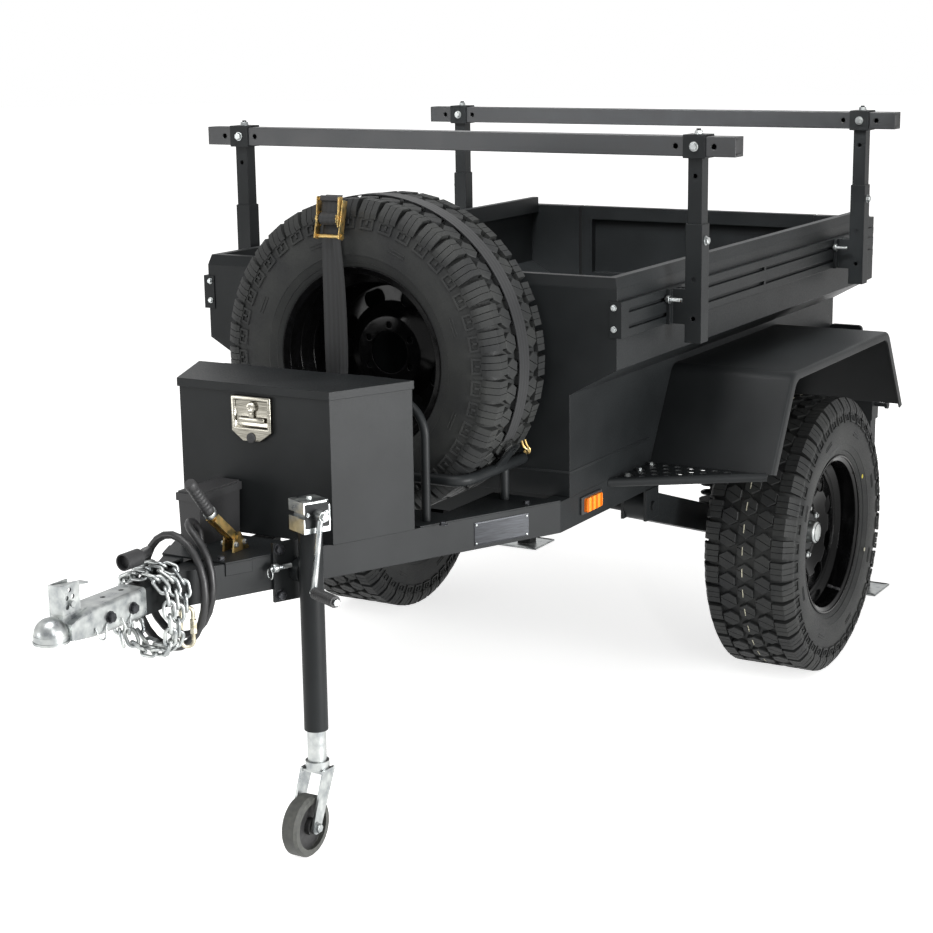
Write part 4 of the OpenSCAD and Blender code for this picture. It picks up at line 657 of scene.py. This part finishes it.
# chalk dashes along the middle row, one on each block, and two paint spots on the sidewall
dashPlaces = [wheelPlaces["left"][0] @ pitched(i + 0.5) @ moved(tyre["chalkAcross"], 0, tyre["hexTop"] + 0.1)
              for i in range(tyre["pitches"])]
keepPiece(stamped(cutBlock(tyre["chalk"], 0.2, 1), dashPlaces), "leftTyreChalkLine", chalkPaint, "left_wheel")
paintSpots = {"leftTyreYellowSpot": (1225, 536, yellowPaint), "leftTyreWhiteSpot": (1265, 301, chalkPaint)}
for name, (y, z, paint) in paintSpots.items():
    spot = turned([(0, 0), (6, 0), (6.4, 0.4), (5.6, 0.9), (0, 1.1)], 20)
    keepPiece(spot, name, paint, "left_wheel", 40, facing(at(708 + tyre["arcSpot"][0], y, z), (1, 0, 0)))

# wheel fittings: cone nuts on studs, zinc dust cap, beaded rings on the rim and a valve
wheelFit = {
    "circle": 70, "nuts": 6, "face": 30, "valveTurn": 205, "valveSpot": (72, 0, 201), "valveLean": 75,
    "nut": [(6, 0), (9, 0), (10.9, 1.2), (10.9, 9), (9.2, 12), (6.2, 14), (5.6, 17), (0, 17.6)],
    "cap": [(28, 31), (33.5, 31), (35.5, 32), (35.5, 35), (33.8, 36.5), (33.6, 58), (32.6, 63), (29.5, 66.8),
            (24, 68.2), (0, 68.4)],
    "beads": ([(226, 112.6), (229, 110.4), (232.6, 111.4), (233.2, 114.0), (231, 115.6), (227, 114.8)],
              [(196, 40), (199, 42), (199.6, 46), (197, 48.4), (193.6, 46), (193, 42)]),
    "valve": [(0, 0), (5.2, 0), (5.2, 14), (3.6, 16), (3.6, 24), (4.6, 25), (4.6, 36), (3.8, 38), (0, 38)],
}
nutSpot = moved(wheelFit["face"], 0, wheelFit["circle"]) @ toAxis
for side in ("left", "right"):
    place, body = wheelPlaces[side]
    spots = [place @ turnedBy(360 / wheelFit["nuts"] * i, "X") @ nutSpot for i in range(wheelFit["nuts"])]
    keepPiece(stamped(turned(wheelFit["nut"], 6), spots), side + "WheelNuts", brightZinc, body, 25)
    keepPiece(turned(wheelFit["cap"], 40), side + "DustCap", brightZinc, body, 40, place @ toAxis)
for side, (place, body) in wheelPlaces.items():
    beads = joined([turned(bead, 96, True) for bead in wheelFit["beads"]])
    keepPiece(beads, side + "RimBeads", glossEnamel, body, 50, place @ toAxis)
    valveTurn = turnedBy(wheelFit["valveTurn"], "X") @ moved(*wheelFit["valveSpot"])
    valveTurn = place @ valveTurn @ turnedBy(wheelFit["valveLean"], "Y")
    keepPiece(turned(wheelFit["valve"], 16), side + "TyreValve", mouldedPlastic, body, 30, valveTurn)
print("wheels fitted")

# hexagon bolts by group: across flats, head height, finish, and places as (x, y, z, normal)
posts = [(x, y) for x in (-700, 700) for y in (300, 1535)]
deckSpots = ((353, -395), (-353, -395), (430, -120), (-430, -120), (65, -889))
boltGroups = {
    "rackSleeveBolts": (17, 8, brightZinc, [
        (x, y + s * 29.3, 1564, 0, s, 0) for x, y in posts for s in (-1, 1)]),
    "rackSleeveNuts": (19, 8, brightZinc, [(x, y, 1593.3, 0, 0, 1) for x, y in posts]),
    "rackPostBolts": (17, 8, brightZinc, [(x + math.copysign(22.5, x), y, 1328, x, 0, 0) for x, y in posts]),
    "trackPlateBolts": (11, 5, brightZinc, [
        (s * 613, -3, z, 0, -1, 0) for s in (-1, 1) for z in (1190, 1137)]),
    "couplerBolts": (19, 9, blackOxide, [
        (s * 35.2, y, 661, s, 0, 0) for s in (-1, 1) for y in (-1240, -1165)]),
    "deckBolts": (15, 7, blackOxide, [(x, y, 704, 0, 0, 1) for x, y in deckSpots]),
    "stepBolts": (13, 6, brightZinc, [(s * 507, y, 695, 0, 0, 1) for s in (-1, 1) for y in (300, 375, 450)]),
    "legSleeveBolts": (13, 6, brightZinc, [
        (s * 665.4, y, 664, s, 0, 0) for s in (-1, 1) for y in (1834, 1866)]),
}
for name, (wide, high, finish, spots) in boltGroups.items():
    # each head turned differently
    places = [facing(at(*spot[:3]), spot[3:], 37 * i) for i, spot in enumerate(spots)]
    keepPiece(stamped(hexHead(wide, high), places), name, finish, "chassis", 25)

# clamp studs: a threaded bar across each post's clamp with a nut at its end
clamp = {"inset": 20, "apart": 47, "high": 1180, "nutAlong": 32, "threads": 22}
thread = [(5 - 0.7 * (i % 2), 2 + 2 * i) for i in range(clamp["threads"])]
stud = turned([(0, 0), (5, 0)] + thread + [(4.4, 46), (0, 46.4)], 14)
studNut = hexHead(16, 9)
studNut.data.transform(moved(0, 0, clamp["nutAlong"]))
places = [facing(at(x - math.copysign(clamp["inset"], x), y + t * clamp["apart"], clamp["high"]), (-x, 0, 0))
          for x, y in posts for t in (-1, 1)]
keepPiece(stamped(joined([stud, studNut]), places), "clampStuds", brightZinc, "chassis", 25)
print("bolts tightened")

# jack: plate bolts, case plate, head screws, crank nut, fork axle nuts, head cap, spring pin and ring;
# places from the jack's foot, X out of the rail
jack = {
    "spot": (224.5, -766, 0), "plateBolts": (-58, 49, 660, 54), "forkHalf": 33.1,
    "casePlate": (0.9, 62, 56), "caseSpot": (34.4, 0, 804), "caseRim": 5, "caseDepth": 0.3,
    "screws": ((34.6, -24, 808), (34.6, 24, 808)), "screwScale": 0.55,
    "topScrew": (0, 0, 836), "topScale": 0.8,
    "crankNut": (63, 0, 806), "cap": (60, 60, 3), "capSpot": (0, 2, 835),
    "pin": [(0, 0), (5.5, 0), (5.5, 34), (9.5, 35), (10.2, 37), (10.2, 46), (9.5, 48), (4, 48.5),
            (4, 54), (0, 54.6)],
    "pinSpot": (-44, -27, 676), "ringSpot": (-44, -82, 664), "ringRadius": 12, "ringSteps": 12,
    "ringWire": 1.6,
}
jackTurn = placed(*jack["spot"]) @ turnedBy(-railLean, "Z")
boltX, boltY, boltZ, boltRise = jack["plateBolts"]
spots = [jackTurn @ moved(boltX, s * boltY, boltZ + t * boltRise) @ toAxis for s in (-1, 1) for t in (-1, 1)]
keepPiece(stamped(hexHead(19, 9), spots), "jackPlateBolts", blackOxide, "chassis", 25)
casePlate = sunkFace(
    cutBlock(jack["casePlate"], 0.3, 1), (1, 0, 0), (0, 1, 0), jack["caseRim"], jack["caseDepth"])
keepPiece(casePlate, "jackCasePlate", powderCoat, "jack", place=jackTurn @ moved(*jack["caseSpot"]))
spots = [jackTurn @ moved(*spot) @ toAxis @ Matrix.Scale(jack["screwScale"], 4) for spot in jack["screws"]]
spots.append(jackTurn @ moved(*jack["topScrew"]) @ Matrix.Scale(jack["topScale"], 4))
keepPiece(stamped(hexHead(13, 6), spots), "jackHeadBolts", brightZinc, "jack", 25)
keepPiece(hexHead(17, 8), "crankNut", brightZinc, "crank", 25, jackTurn @ moved(*jack["crankNut"]) @ toAxis)
axleX, axleY, axleZ = caster["axle"]
spots = [placed(axleX + s * jack["forkHalf"], axleY, axleZ) @ turnedBy(90 * s, "Y") for s in (-1, 1)]
keepPiece(stamped(hexHead(19, 8), spots), "forkAxleNuts", brightZinc, "caster", 25)
capTurn = jackTurn @ moved(*jack["capSpot"])
keepPiece(cutBlock(jack["cap"], 1.2), "jackHeadCap", brightZinc, "jack", place=capTurn)
pinTurn = jackTurn @ moved(*jack["pinSpot"]) @ turnedBy(90, "X")
keepPiece(turned(jack["pin"], 24), "jackPullPin", brightZinc, "jack", place=pinTurn)
ringX, ringY, ringZ = jack["ringSpot"]
pinRing = []
for i in range(jack["ringSteps"]):
    swing = math.tau / jack["ringSteps"] * i
    pinRing.append(jackTurn @ mm(ringX + jack["ringRadius"] * math.cos(swing), ringY,
                                 ringZ + jack["ringRadius"] * math.sin(swing)))
keepPiece(bentWire(pinRing, jack["ringWire"], closed=True), "jackPinRing", brightZinc, "jack", 60)
print("jack fitted")


# profile points of rounded grooves round a grip
def grooves(full, waist, first, pitch, count, wide):
    line = []
    for z in (first + pitch * i for i in range(count)):
        line += [(full, z), (waist, z + 2), (waist, z + 2 + wide), (full, z + 4 + wide)]
    return line


# crank grip: ribbed moulding over its pin, at the end of the leaning crank
crankGrip = {"from": 57.2, "axle": 806, "arm": 175, "lean": 8}
lean = math.radians(crankGrip["lean"])
gripTurn = jackTurn @ moved(crankGrip["from"], -crankGrip["arm"] * math.sin(lean),
                            crankGrip["axle"] - crankGrip["arm"] * math.cos(lean)) @ toAxis
gripLine = [(7.4, 0), (13.2, 0), (13.9, 2)] + grooves(13.9, 12.6, 5, 9, 9, 2.5)
gripLine += [(13.9, 85), (12.8, 87.4), (7.4, 87.4)]
grip = keepPiece(turned(gripLine, 28, closed=True), "crankGripRibs", mouldedPlastic, "crank", 30, gripTurn)
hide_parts("crank_grip")

# handbrake: black sleeve over the lever's end, a zinc ring and the saddle's pivot bolts
handbrake = {
    "low": (40, -876, 792), "top": (40, -960, 894), "boltsOut": 16.6, "bolts": ((-790, 722), (-822, 722))}
leverTurn = facing(at(*handbrake["low"]), at(*handbrake["top"]) - at(*handbrake["low"]))
sleeveLine = [(0, 30), (13.4, 30), (14, 32)] + grooves(14, 13, 40, 11, 7, 4)
sleeveLine += [(14, 126), (13, 130), (11.4, 132.2), (0, 132.4)]
keepPiece(turned(sleeveLine, 28), "handbrakeSleeve", mouldedPlastic, "chassis", 30, leverTurn)
collar = turned([(11.5, 16), (15, 16), (15.4, 17), (15.4, 27), (15, 28), (11.5, 28)], 28, closed=True)
keepPiece(collar, "handbrakeCollar", brightZinc, "chassis", 30, leverTurn)
spots = [facing(at(handbrake["low"][0] + s * handbrake["boltsOut"], y, z), (s, 0, 0))
         for s in (-1, 1) for y, z in handbrake["bolts"]]
keepPiece(stamped(hexHead(10, 5, 1.4), spots), "handbrakeBolts", brightZinc, "chassis", 25)

# coupler: latch pivot pin and the hitch clips that hang below
couplerFit = {
    "pin": [(0, 0), (7, 0), (7, 4), (4.6, 4.4), (4.6, 47), (7, 47.4), (7, 51), (0, 51.2)],
    "pinSpot": (-25.6, -1340, 716), "clipWire": 2.0,
    "clips": ([(37, -1290, 650), (42, -1288, 634), (44, -1280, 624), (42, -1268, 624), (40, -1262, 634),
               (38, -1256, 648), (37, -1250, 652)],
              [(37, -1205, 650), (43, -1204, 636), (44, -1196, 626), (42, -1186, 628), (39, -1180, 640),
               (37, -1174, 650)]),
}
pinTurn = facing(at(*couplerFit["pinSpot"]), (1, 0, 0))
keepPiece(turned(couplerFit["pin"], 20), "latchPivotPin", brightZinc, "chassis", 30, pinTurn)
clips = [bentWire([at(*p) for p in run], couplerFit["clipWire"]) for run in couplerFit["clips"]]
keepPiece(joined(clips), "hitchClips", brightZinc, "chassis", 60)
print("drawbar fitted")

# box latch: a pressed tray with a folded T handle, a lock barrel and its round cover; on the box front, Y up
boxLatch = {
    "spot": (0, -659, 992), "wide": 112, "high": 84, "foot": 23, "footWide": 48, "deep": 11.6, "rim": 9,
    "recess": 8, "draft": (0.94, 0.92, 1), "soften": 2.2,
    "grip": (74, 13, 7), "gripSpot": (0, -14, 8.4), "stem": (15, 26, 5), "stemSpot": (0, -2, 7.4),
    "barrel": [(0, 2), (13, 2), (13, 8.4), (11.6, 10.2), (8, 10.6), (7.2, 9.8), (2.4, 9.6), (0, 8.6)],
    "barrelSpot": (0, 15, 1), "coverSpot": (0, -56, 11.6),
    "cover": [(0, 0), (12, 0), (12, 2.4), (10.8, 3.8), (4, 4.2), (3.4, 3.4), (0, 3.4)],
}
latchTurn = facing(at(*boxLatch["spot"]), (0, -1, 0))
clearAll()
bpy.ops.mesh.primitive_cube_add(size=1, scale=mm(boxLatch["wide"], boxLatch["high"], boxLatch["deep"]),
                                location=mm(0, 0, boxLatch["deep"] / 2))
tray = settle(bpy.context.object)
pickFaces(tray, lambda middle, normal: normal.y < -0.9)
drawOut(mm(0, -boxLatch["foot"], 0))
bpy.ops.transform.resize(value=(boxLatch["footWide"] / boxLatch["wide"], 1, 1))
pickFaces(tray, lambda middle, normal: normal.z > 0.9 and abs(middle.y) < 0.02)
bpy.ops.mesh.inset(thickness=boxLatch["rim"] / 1000)
drawOut(mm(0, 0, -boxLatch["recess"]))
bpy.ops.transform.resize(value=boxLatch["draft"])
takeUp(tray)
soften = tray.modifiers.new("soften", "BEVEL")
soften.width = boxLatch["soften"] / 1000
soften.segments = 3
soften.limit_method = "ANGLE"
bpy.ops.object.modifier_apply(modifier=soften.name)
barrel = turned(boxLatch["barrel"], 32)
barrel.data.transform(moved(*boxLatch["barrelSpot"]))
latchMetal = joined([tray, cutBlock(boxLatch["grip"], 3, 3, moved(*boxLatch["gripSpot"])),
                     cutBlock(boxLatch["stem"], 2, 2, moved(*boxLatch["stemSpot"])), barrel])
keepPiece(latchMetal, "boxLatchTray", stainless, "chassis", 35, latchTurn)
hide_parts("tool_box_latch")
coverTurn = latchTurn @ moved(*boxLatch["coverSpot"])
keepPiece(turned(boxLatch["cover"], 28), "latchLockCover", mouldedPlastic, "chassis", 30, coverTurn)

# blank plate on the rail, with its rivets
plate = {"along": -215, "high": 658, "size": (1.8, 164, 58), "rim": 3, "depth": 0.5, "rivets": (76, 23)}
proud = plate["size"][0] / 2
plateTurn = Matrix.Translation(onRail(plate["along"], plate["high"], proud)) @ turnedBy(-railLean, "Z")
plateSheet = sunkFace(cutBlock(plate["size"], 0.5), (1, 0, 0), (0, 1, 0), plate["rim"], plate["depth"])
keepPiece(plateSheet, "blankRatingPlate", plateLacquer, "chassis", 30, plateTurn)
rivet = turned([(0, 0), (3, 0), (2.8, 0.9), (1.8, 1.7), (0, 2.0)], 16)
rivetY, rivetZ = plate["rivets"]
spots = [plateTurn @ moved(proud, s * rivetY, t * rivetZ) @ toAxis for s in (-1, 1) for t in (-1, 1)]
keepPiece(stamped(rivet, spots), "plateRivets", brightZinc, "chassis", 40)

# marker bases: black moulding behind each amber lens
marker = {"size": (6, 116, 46), "out": 493, "along": 115, "high": 664}
spots = [placed(s * marker["out"], marker["along"], marker["high"]) for s in (-1, 1)]
keepPiece(stamped(cutBlock(marker["size"], 1.6), spots), "markerBases", mouldedPlastic, "chassis")

# rack bar end plugs, dished behind a rim
barPlug = {"size": (3, 49, 49), "rim": 8, "depth": 1.0, "out": 808.4, "along": (300, 1535), "high": 1564}
plugs = []
for s in (-1, 1):
    for y in barPlug["along"]:
        plug = cutBlock(barPlug["size"], 1.2)
        sunkFace(plug, (s, 0, 0), (0, 1, 0), barPlug["rim"], barPlug["depth"])
        plug.data.transform(placed(s * barPlug["out"], y, barPlug["high"]))
        plugs.append(plug)
keepPiece(joined(plugs), "barEndPlugs", mouldedPlastic, "chassis")

# zinc feet on the drop legs, pressed plates with a turned-up edge
legFoot = {"size": (150.4, 150.4, 5.4), "rim": 8, "depth": 0.3, "spot": (635, 1850, 2.75)}
for side, s in (("left", 1), ("right", -1)):
    foot = sunkFace(cutBlock(legFoot["size"], 2.0), (0, 0, 1), (1, 0, 0), legFoot["rim"], legFoot["depth"])
    footX, footY, footZ = legFoot["spot"]
    keepPiece(foot, side + "LegFoot", brightZinc, side + "_drop_leg",
              place=placed(s * footX, footY, footZ))

# pressed seam round the low walls of the tub: sizes and middles
tubSeams = (
    ((980, 1.6, 7), (0, -0.4, 764)), ((1.6, 470, 7), (490.4, 236, 764)), ((1.6, 470, 7), (-490.4, 236, 764)))
seams = [cutBlock(sizes, 0.6, place=placed(*spot)) for sizes, spot in tubSeams]
keepPiece(joined(seams), "tubSeams", powderCoat, "chassis")
print("small fittings done")


# an edited sheet made solid; offset 0 thickens to both sides, -1 to the inside
def thickened(obj, thick, offset):
    body = takeUp(obj).modifiers.new("body", "SOLIDIFY")
    body.thickness = thick / 1000
    body.offset = offset
    bpy.ops.object.modifier_apply(modifier=body.name)
    return obj


# a sheet that follows a path in the (y, z) plane, from one x to another
def ribbon(path, fromX, toX, thick, strips=6):
    obj = drawnLine([at(fromX, y, z) for y, z in path])
    bpy.ops.mesh.select_mode(type="EDGE")
    selectAll()
    for step in range(strips):
        drawEdges(mm((toX - fromX) / strips, 0, 0))
    selectAll()
    bpy.ops.mesh.normals_make_consistent(inside=False)
    return thickened(obj, thick, 0)


# tie-down strap: the band round the tread, the tail down the wheel's face and the loose end beside it
strap = {
    "middle": (40, -148, 1058), "inside": 401.2, "thick": 2.6, "wide": 50, "from": -28, "sweep": 236,
    "steps": 118,
    "shoulder": (-252, 1433), "bend": 33.8, "bendTurns": range(110, 181, 10), "tail": (-44, 4),
    "tailEnd": 990,
    "tailSteps": 30, "sag": 4, "ripple": 0.7, "rippleAngle": 9, "end": (6, 27),
    "endPath": [(-315, 1370), (-312, 1340), (-305, 1290), (-299, 1230), (-296, 1160), (-295, 1090),
                (-297, 1040), (-302, 1012), (-309, 1001), (-315, 1006)],
}
middleRadius = strap["inside"] + strap["thick"] / 2
clearAll()
bpy.ops.mesh.primitive_plane_add(size=1)
bandEnd = moved(middleRadius, 0, 0) @ Matrix.Diagonal((*mm(strap["thick"], strap["wide"]), 1, 1))
band = settle(bpy.context.object, bandEnd)
pickFaces(band, lambda middle, normal: True)
bpy.ops.mesh.spin(steps=strap["steps"], angle=math.radians(strap["sweep"]), center=(0, 0, 0), axis=(0, 1, 0))
leaveEdit()
bandTurn = placed(*strap["middle"]) @ turnedBy(-strap["from"], "Y")
keepPiece(band, "strapBand", strapWebbing, "chassis", 30, bandTurn)
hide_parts("spare_strap")
shoulderY, shoulderZ = strap["shoulder"]
tailPath = []
for swing in map(math.radians, strap["bendTurns"]):
    tailPath.append((shoulderY + strap["bend"] * math.cos(swing),
                     shoulderZ + strap["bend"] * math.sin(swing)))
for i in range(1, strap["tailSteps"] + 1):
    share = i / strap["tailSteps"]
    slack = strap["sag"] * math.sin(math.pi * share)
    slack += strap["ripple"] * math.sin(strap["rippleAngle"] * share)
    tailPath.append((shoulderY - strap["bend"] - slack, mixed((shoulderZ, strap["tailEnd"]), share)))
hangingEnds = {"strapTail": (tailPath, strap["tail"]), "strapLooseEnd": (strap["endPath"], strap["end"])}
for name, (path, sides) in hangingEnds.items():
    piece = keepPiece(ribbon(path, *sides, strap["thick"]), name, strapWebbing, "chassis", 40)

# ratchet buckle on the shoulder: two pairs of cheeks, toothed wheels, a wound drum and a gripped handle;
# cheeks are (x, sizes, y and z, lean), rods are (y, z, radius, reach to each side)
ratchet = {
    "spot": (-4, -252, 1433), "lean": 75, "slide": -85, "lift": 37,
    "cheeks": ((35, (2.6, 96, 22), (48, 12), 0), (31, (2.6, 74, 20), (66, 21), 9)), "cheekTaper": 0.4,
    "wheel": 15, "wheelThick": 2.4, "teeth": 14, "toothOut": 1.18, "wheelSpot": (28, 50, 15),
    "rods": ((50, 15, 7, 38), (8, 8, 5, 39), (96, 25, 4, 33)), "rodHead": 1.4, "headLength": 2.4,
    "wound": [(7.4, -24), (14.2, -24), (15, -23), (15, 23), (14.2, 24), (7.4, 24)],
    "leads": (((48, 46, 2.6), (0, 28, 3.2), 0), ((48, 48, 2.6), (0, 74, 20), 9)),
    "grip": (56, 14, 9), "gripSpot": (0, 98, 25),
}
ratchetTurn = placed(*ratchet["spot"]) @ turnedBy(ratchet["lean"], "X")
ratchetTurn = ratchetTurn @ moved(0, ratchet["slide"], ratchet["lift"])
metal = []
for cheekX, sizes, spot, lean in ratchet["cheeks"]:
    for s in (-1, 1):
        cheek = cutBlock(sizes, 1.0)
        pickFaces(cheek, lambda middle, normal: abs(normal.y) > 0.9)
        bpy.ops.transform.resize(value=(1, 1, ratchet["cheekTaper"]))
        leaveEdit()
        cheek.data.transform(moved(s * cheekX, *spot) @ turnedBy(lean, "X"))
        metal.append(cheek)


# every second face round the wheel's rim
def isTooth(middle, normal):
    around = math.degrees(math.atan2(middle.y, middle.x)) % 360
    return abs(normal.z) < 0.1 and int(around / (180 / ratchet["teeth"])) % 2 == 0


drumX, drumY, drumZ = ratchet["wheelSpot"]
for s in (-1, 1):
    clearAll()
    bpy.ops.mesh.primitive_cylinder_add(
        vertices=2 * ratchet["teeth"], radius=ratchet["wheel"] / 1000, depth=ratchet["wheelThick"] / 1000)
    wheel = bpy.context.object
    pickFaces(wheel, isTooth)
    drawOut((0, 0, 0))
    bpy.ops.transform.resize(value=(ratchet["toothOut"], ratchet["toothOut"], 1), center_override=(0, 0, 0))
    leaveEdit()
    wheel.data.transform(moved(s * drumX, drumY, drumZ) @ toAxis)
    metal.append(wheel)
for y, z, radius, reach in ratchet["rods"]:
    head, under = radius + ratchet["rodHead"], reach - ratchet["headLength"]
    rod = turned([(0, -reach), (head, -reach), (head, -under), (radius, 0.4 - under), (radius, under - 0.4),
                  (head, under), (head, reach), (0, reach)], 20)
    rod.data.transform(moved(0, y, z) @ toAxis)
    metal.append(rod)
frameMetal = keepPiece(joined(metal), "ratchetFrame", yellowPassivate, "chassis", 30, ratchetTurn)
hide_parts("strap_ratchet")
wound = turned(ratchet["wound"], 32, closed=True)
wound.data.transform(moved(0, drumY, drumZ) @ toAxis)
leads = [cutBlock(sizes, 0.8, place=moved(*spot) @ turnedBy(lean, "X"))
         for sizes, spot, lean in ratchet["leads"]]
keepPiece(joined([wound] + leads), "ratchetWebbing", strapWebbing, "chassis", 30, ratchetTurn)
gripTurn = ratchetTurn @ moved(*ratchet["gripSpot"])
keepPiece(cutBlock(ratchet["grip"], 3.5, 3), "ratchetGrip", mouldedPlastic, "chassis", 40, gripTurn)

# strap hooks, each a doubled wire from the strap's end to the carrier's lug; runs are (out, y share, z)
hook = {"wire": 3.2, "wires": (-156, -140), "lug": -135,
        "run": ((398, 0, 872), (404, 0, 858), (410, 0.5, 848), (404, 1, 838), (394, 1, 842))}
hooks = []
for s in (1, -1):
    for y in hook["wires"]:
        run = [at(strap["middle"][0] + s * out, mixed((y, hook["lug"]), share), z)
               for out, share, z in hook["run"]]
        hooks.append(bentWire(run, hook["wire"]))
keepPiece(joined(hooks), "strapHooks", yellowPassivate, "chassis", 60)
print("strap tied and hooked")

# fenders: one bent sheet each, its outer edge rolled over into a lip by (out, shrink) steps
fenders = {
    "corners": [(480, 695), (625, 945), (1425, 945), (1580, 695)], "bend": 45,
    "inner": 490, "flat": 832, "thick": 4, "about": (1030, 560),
    "roll": ((4.6, 0.9985), (3.6, 0.9955), (2.4, 0.9925), (1.2, 0.988), (0, 0.966)),
}


# (y, z) points with each inner corner rounded
def roundedPath(points, radius, steps=8):
    path = [points[0]]
    for before, corner, after in zip(points, points[1:], points[2:]):
        b, c, a = Vector(before), Vector(corner), Vector(after)
        inward, onward = (b - c).normalized(), (a - c).normalized()
        half = inward.angle(onward) / 2
        middle = c + (inward + onward).normalized() * radius / math.sin(half)
        start, end = c + inward * radius / math.tan(half), c + onward * radius / math.tan(half)
        for i in range(steps + 1):
            spoke = ((start - middle) * (1 - i / steps) + (end - middle) * (i / steps)).normalized()
            path.append(tuple(middle + spoke * radius))
    return path + [points[-1]]


fenderLine = [at(fenders["inner"], y, z) for y, z in roundedPath(fenders["corners"], fenders["bend"])]
for side, mirror in (("left", Matrix.Identity(4)), ("right", Matrix.Scale(-1, 4, (1, 0, 0)))):
    sheet = drawnLine(fenderLine)
    bpy.ops.mesh.select_mode(type="EDGE")
    selectAll()
    acrossTop = mm(fenders["flat"] - fenders["inner"], 0, 0)
    drawEdges(acrossTop)
    for outward, shrink in fenders["roll"]:
        drawEdges(mm(outward, 0, 0))
        bpy.ops.transform.resize(value=(1, shrink, shrink), center_override=at(0, *fenders["about"]))
    selectAll()
    bpy.ops.mesh.normals_make_consistent(inside=False)
    leaveEdit()
    top = max(sheet.data.polygons, key=lambda face: face.center.z)
    if top.normal.z < 0:
        sheet.data.flip_normals()
    thickened(sheet, fenders["thick"], -1)
    keepPiece(sheet, side + "FenderSheet", powderCoat, "chassis", 40, mirror)
    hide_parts(side + "_fender")
print("fenders rolled")

# floor, world and soft lamps; both the floor and the world are plain white to the eye and to reflections
clearAll()
bpy.ops.mesh.primitive_circle_add(vertices=96, radius=40, fill_type="NGON", location=(0, 0, -0.0005))
floor = bpy.context.object
floor.name = "studioFloor"
paleFloor, shader, place = newMaterial("paleStudioFloor", Roughness=0.9, Specular_IOR_Level=0.1)
shader.inputs["Base Color"].default_value = linear("#f4f4f2")
shader.inputs["Emission Color"].default_value = (1, 1, 1, 1)
studio = bpy.data.worlds.new("studioWorld")
scene.world = studio
studio.use_nodes = True
sky = studio.node_tree.nodes["Background"]
sky.inputs["Color"].default_value = (1, 1, 1, 1)
# strength that lights the object, and strength that the camera, metal and glass see
studioGlow = {
    paleFloor: (shader.inputs["Emission Strength"], 0.0, 0.72),
    studio: (sky.inputs["Strength"], 0.5, 1.0),
}
for owner, (socket, lighting, seen) in studioGlow.items():
    rays = addNode(owner, "ShaderNodeLightPath").outputs
    either = addNode(owner, "ShaderNodeMath", {
        0: rays["Is Camera Ray"], 1: rays["Is Glossy Ray"]}, operation="MAXIMUM")
    direct = addNode(owner, "ShaderNodeMath", {
        0: either.outputs["Value"], 1: rays["Is Transmission Ray"]}, operation="MAXIMUM")
    level = addNode(owner, "ShaderNodeMapRange", {
        "Value": direct.outputs["Value"], "To Min": lighting, "To Max": seen})
    wire(owner, level.outputs["Result"], socket)
floor.data.materials.append(paleFloor)

# place, aim, width, height, watts and beam angle
lamps = {
    "rightBox": ((4.4, -0.9, 0.9), (0.2, -0.8, 0.75), 2.0, 1.7, 36, 55),
    "rightStrip": ((3.2, -3.2, 2.4), (0.6, 0.2, 0.7), 0.16, 2.4, 36, 180),
    "frontBox": ((-3.7, -5.5, 0.8), (0, -0.4, 1.3), 2.4, 1.3, 50, 180),
    "topBox": ((0.2, -2.0, 4.4), (0, 0.2, 0.8), 2.4, 2.8, 125, 180),
    "tubFill": ((0.1, -0.5, 3.4), (0, 1.4, 1.0), 1.0, 1.0, 26, 50),
}
for name, (spot, aim, wide, high, power, beam) in lamps.items():
    glow = bpy.data.lights.new(name, "AREA")
    glow.shape = "RECTANGLE"
    glow.size = wide
    glow.size_y = high
    glow.energy = power
    glow.spread = math.radians(beam)
    lamp = bpy.data.objects.new(name, glow)
    bpy.context.collection.objects.link(lamp)
    lamp.location = spot
    lamp.rotation_euler = (Vector(aim) - Vector(spot)).to_track_quat("-Z", "Y").to_euler()
scene.view_settings.view_transform = "Standard"
print("studio lit")
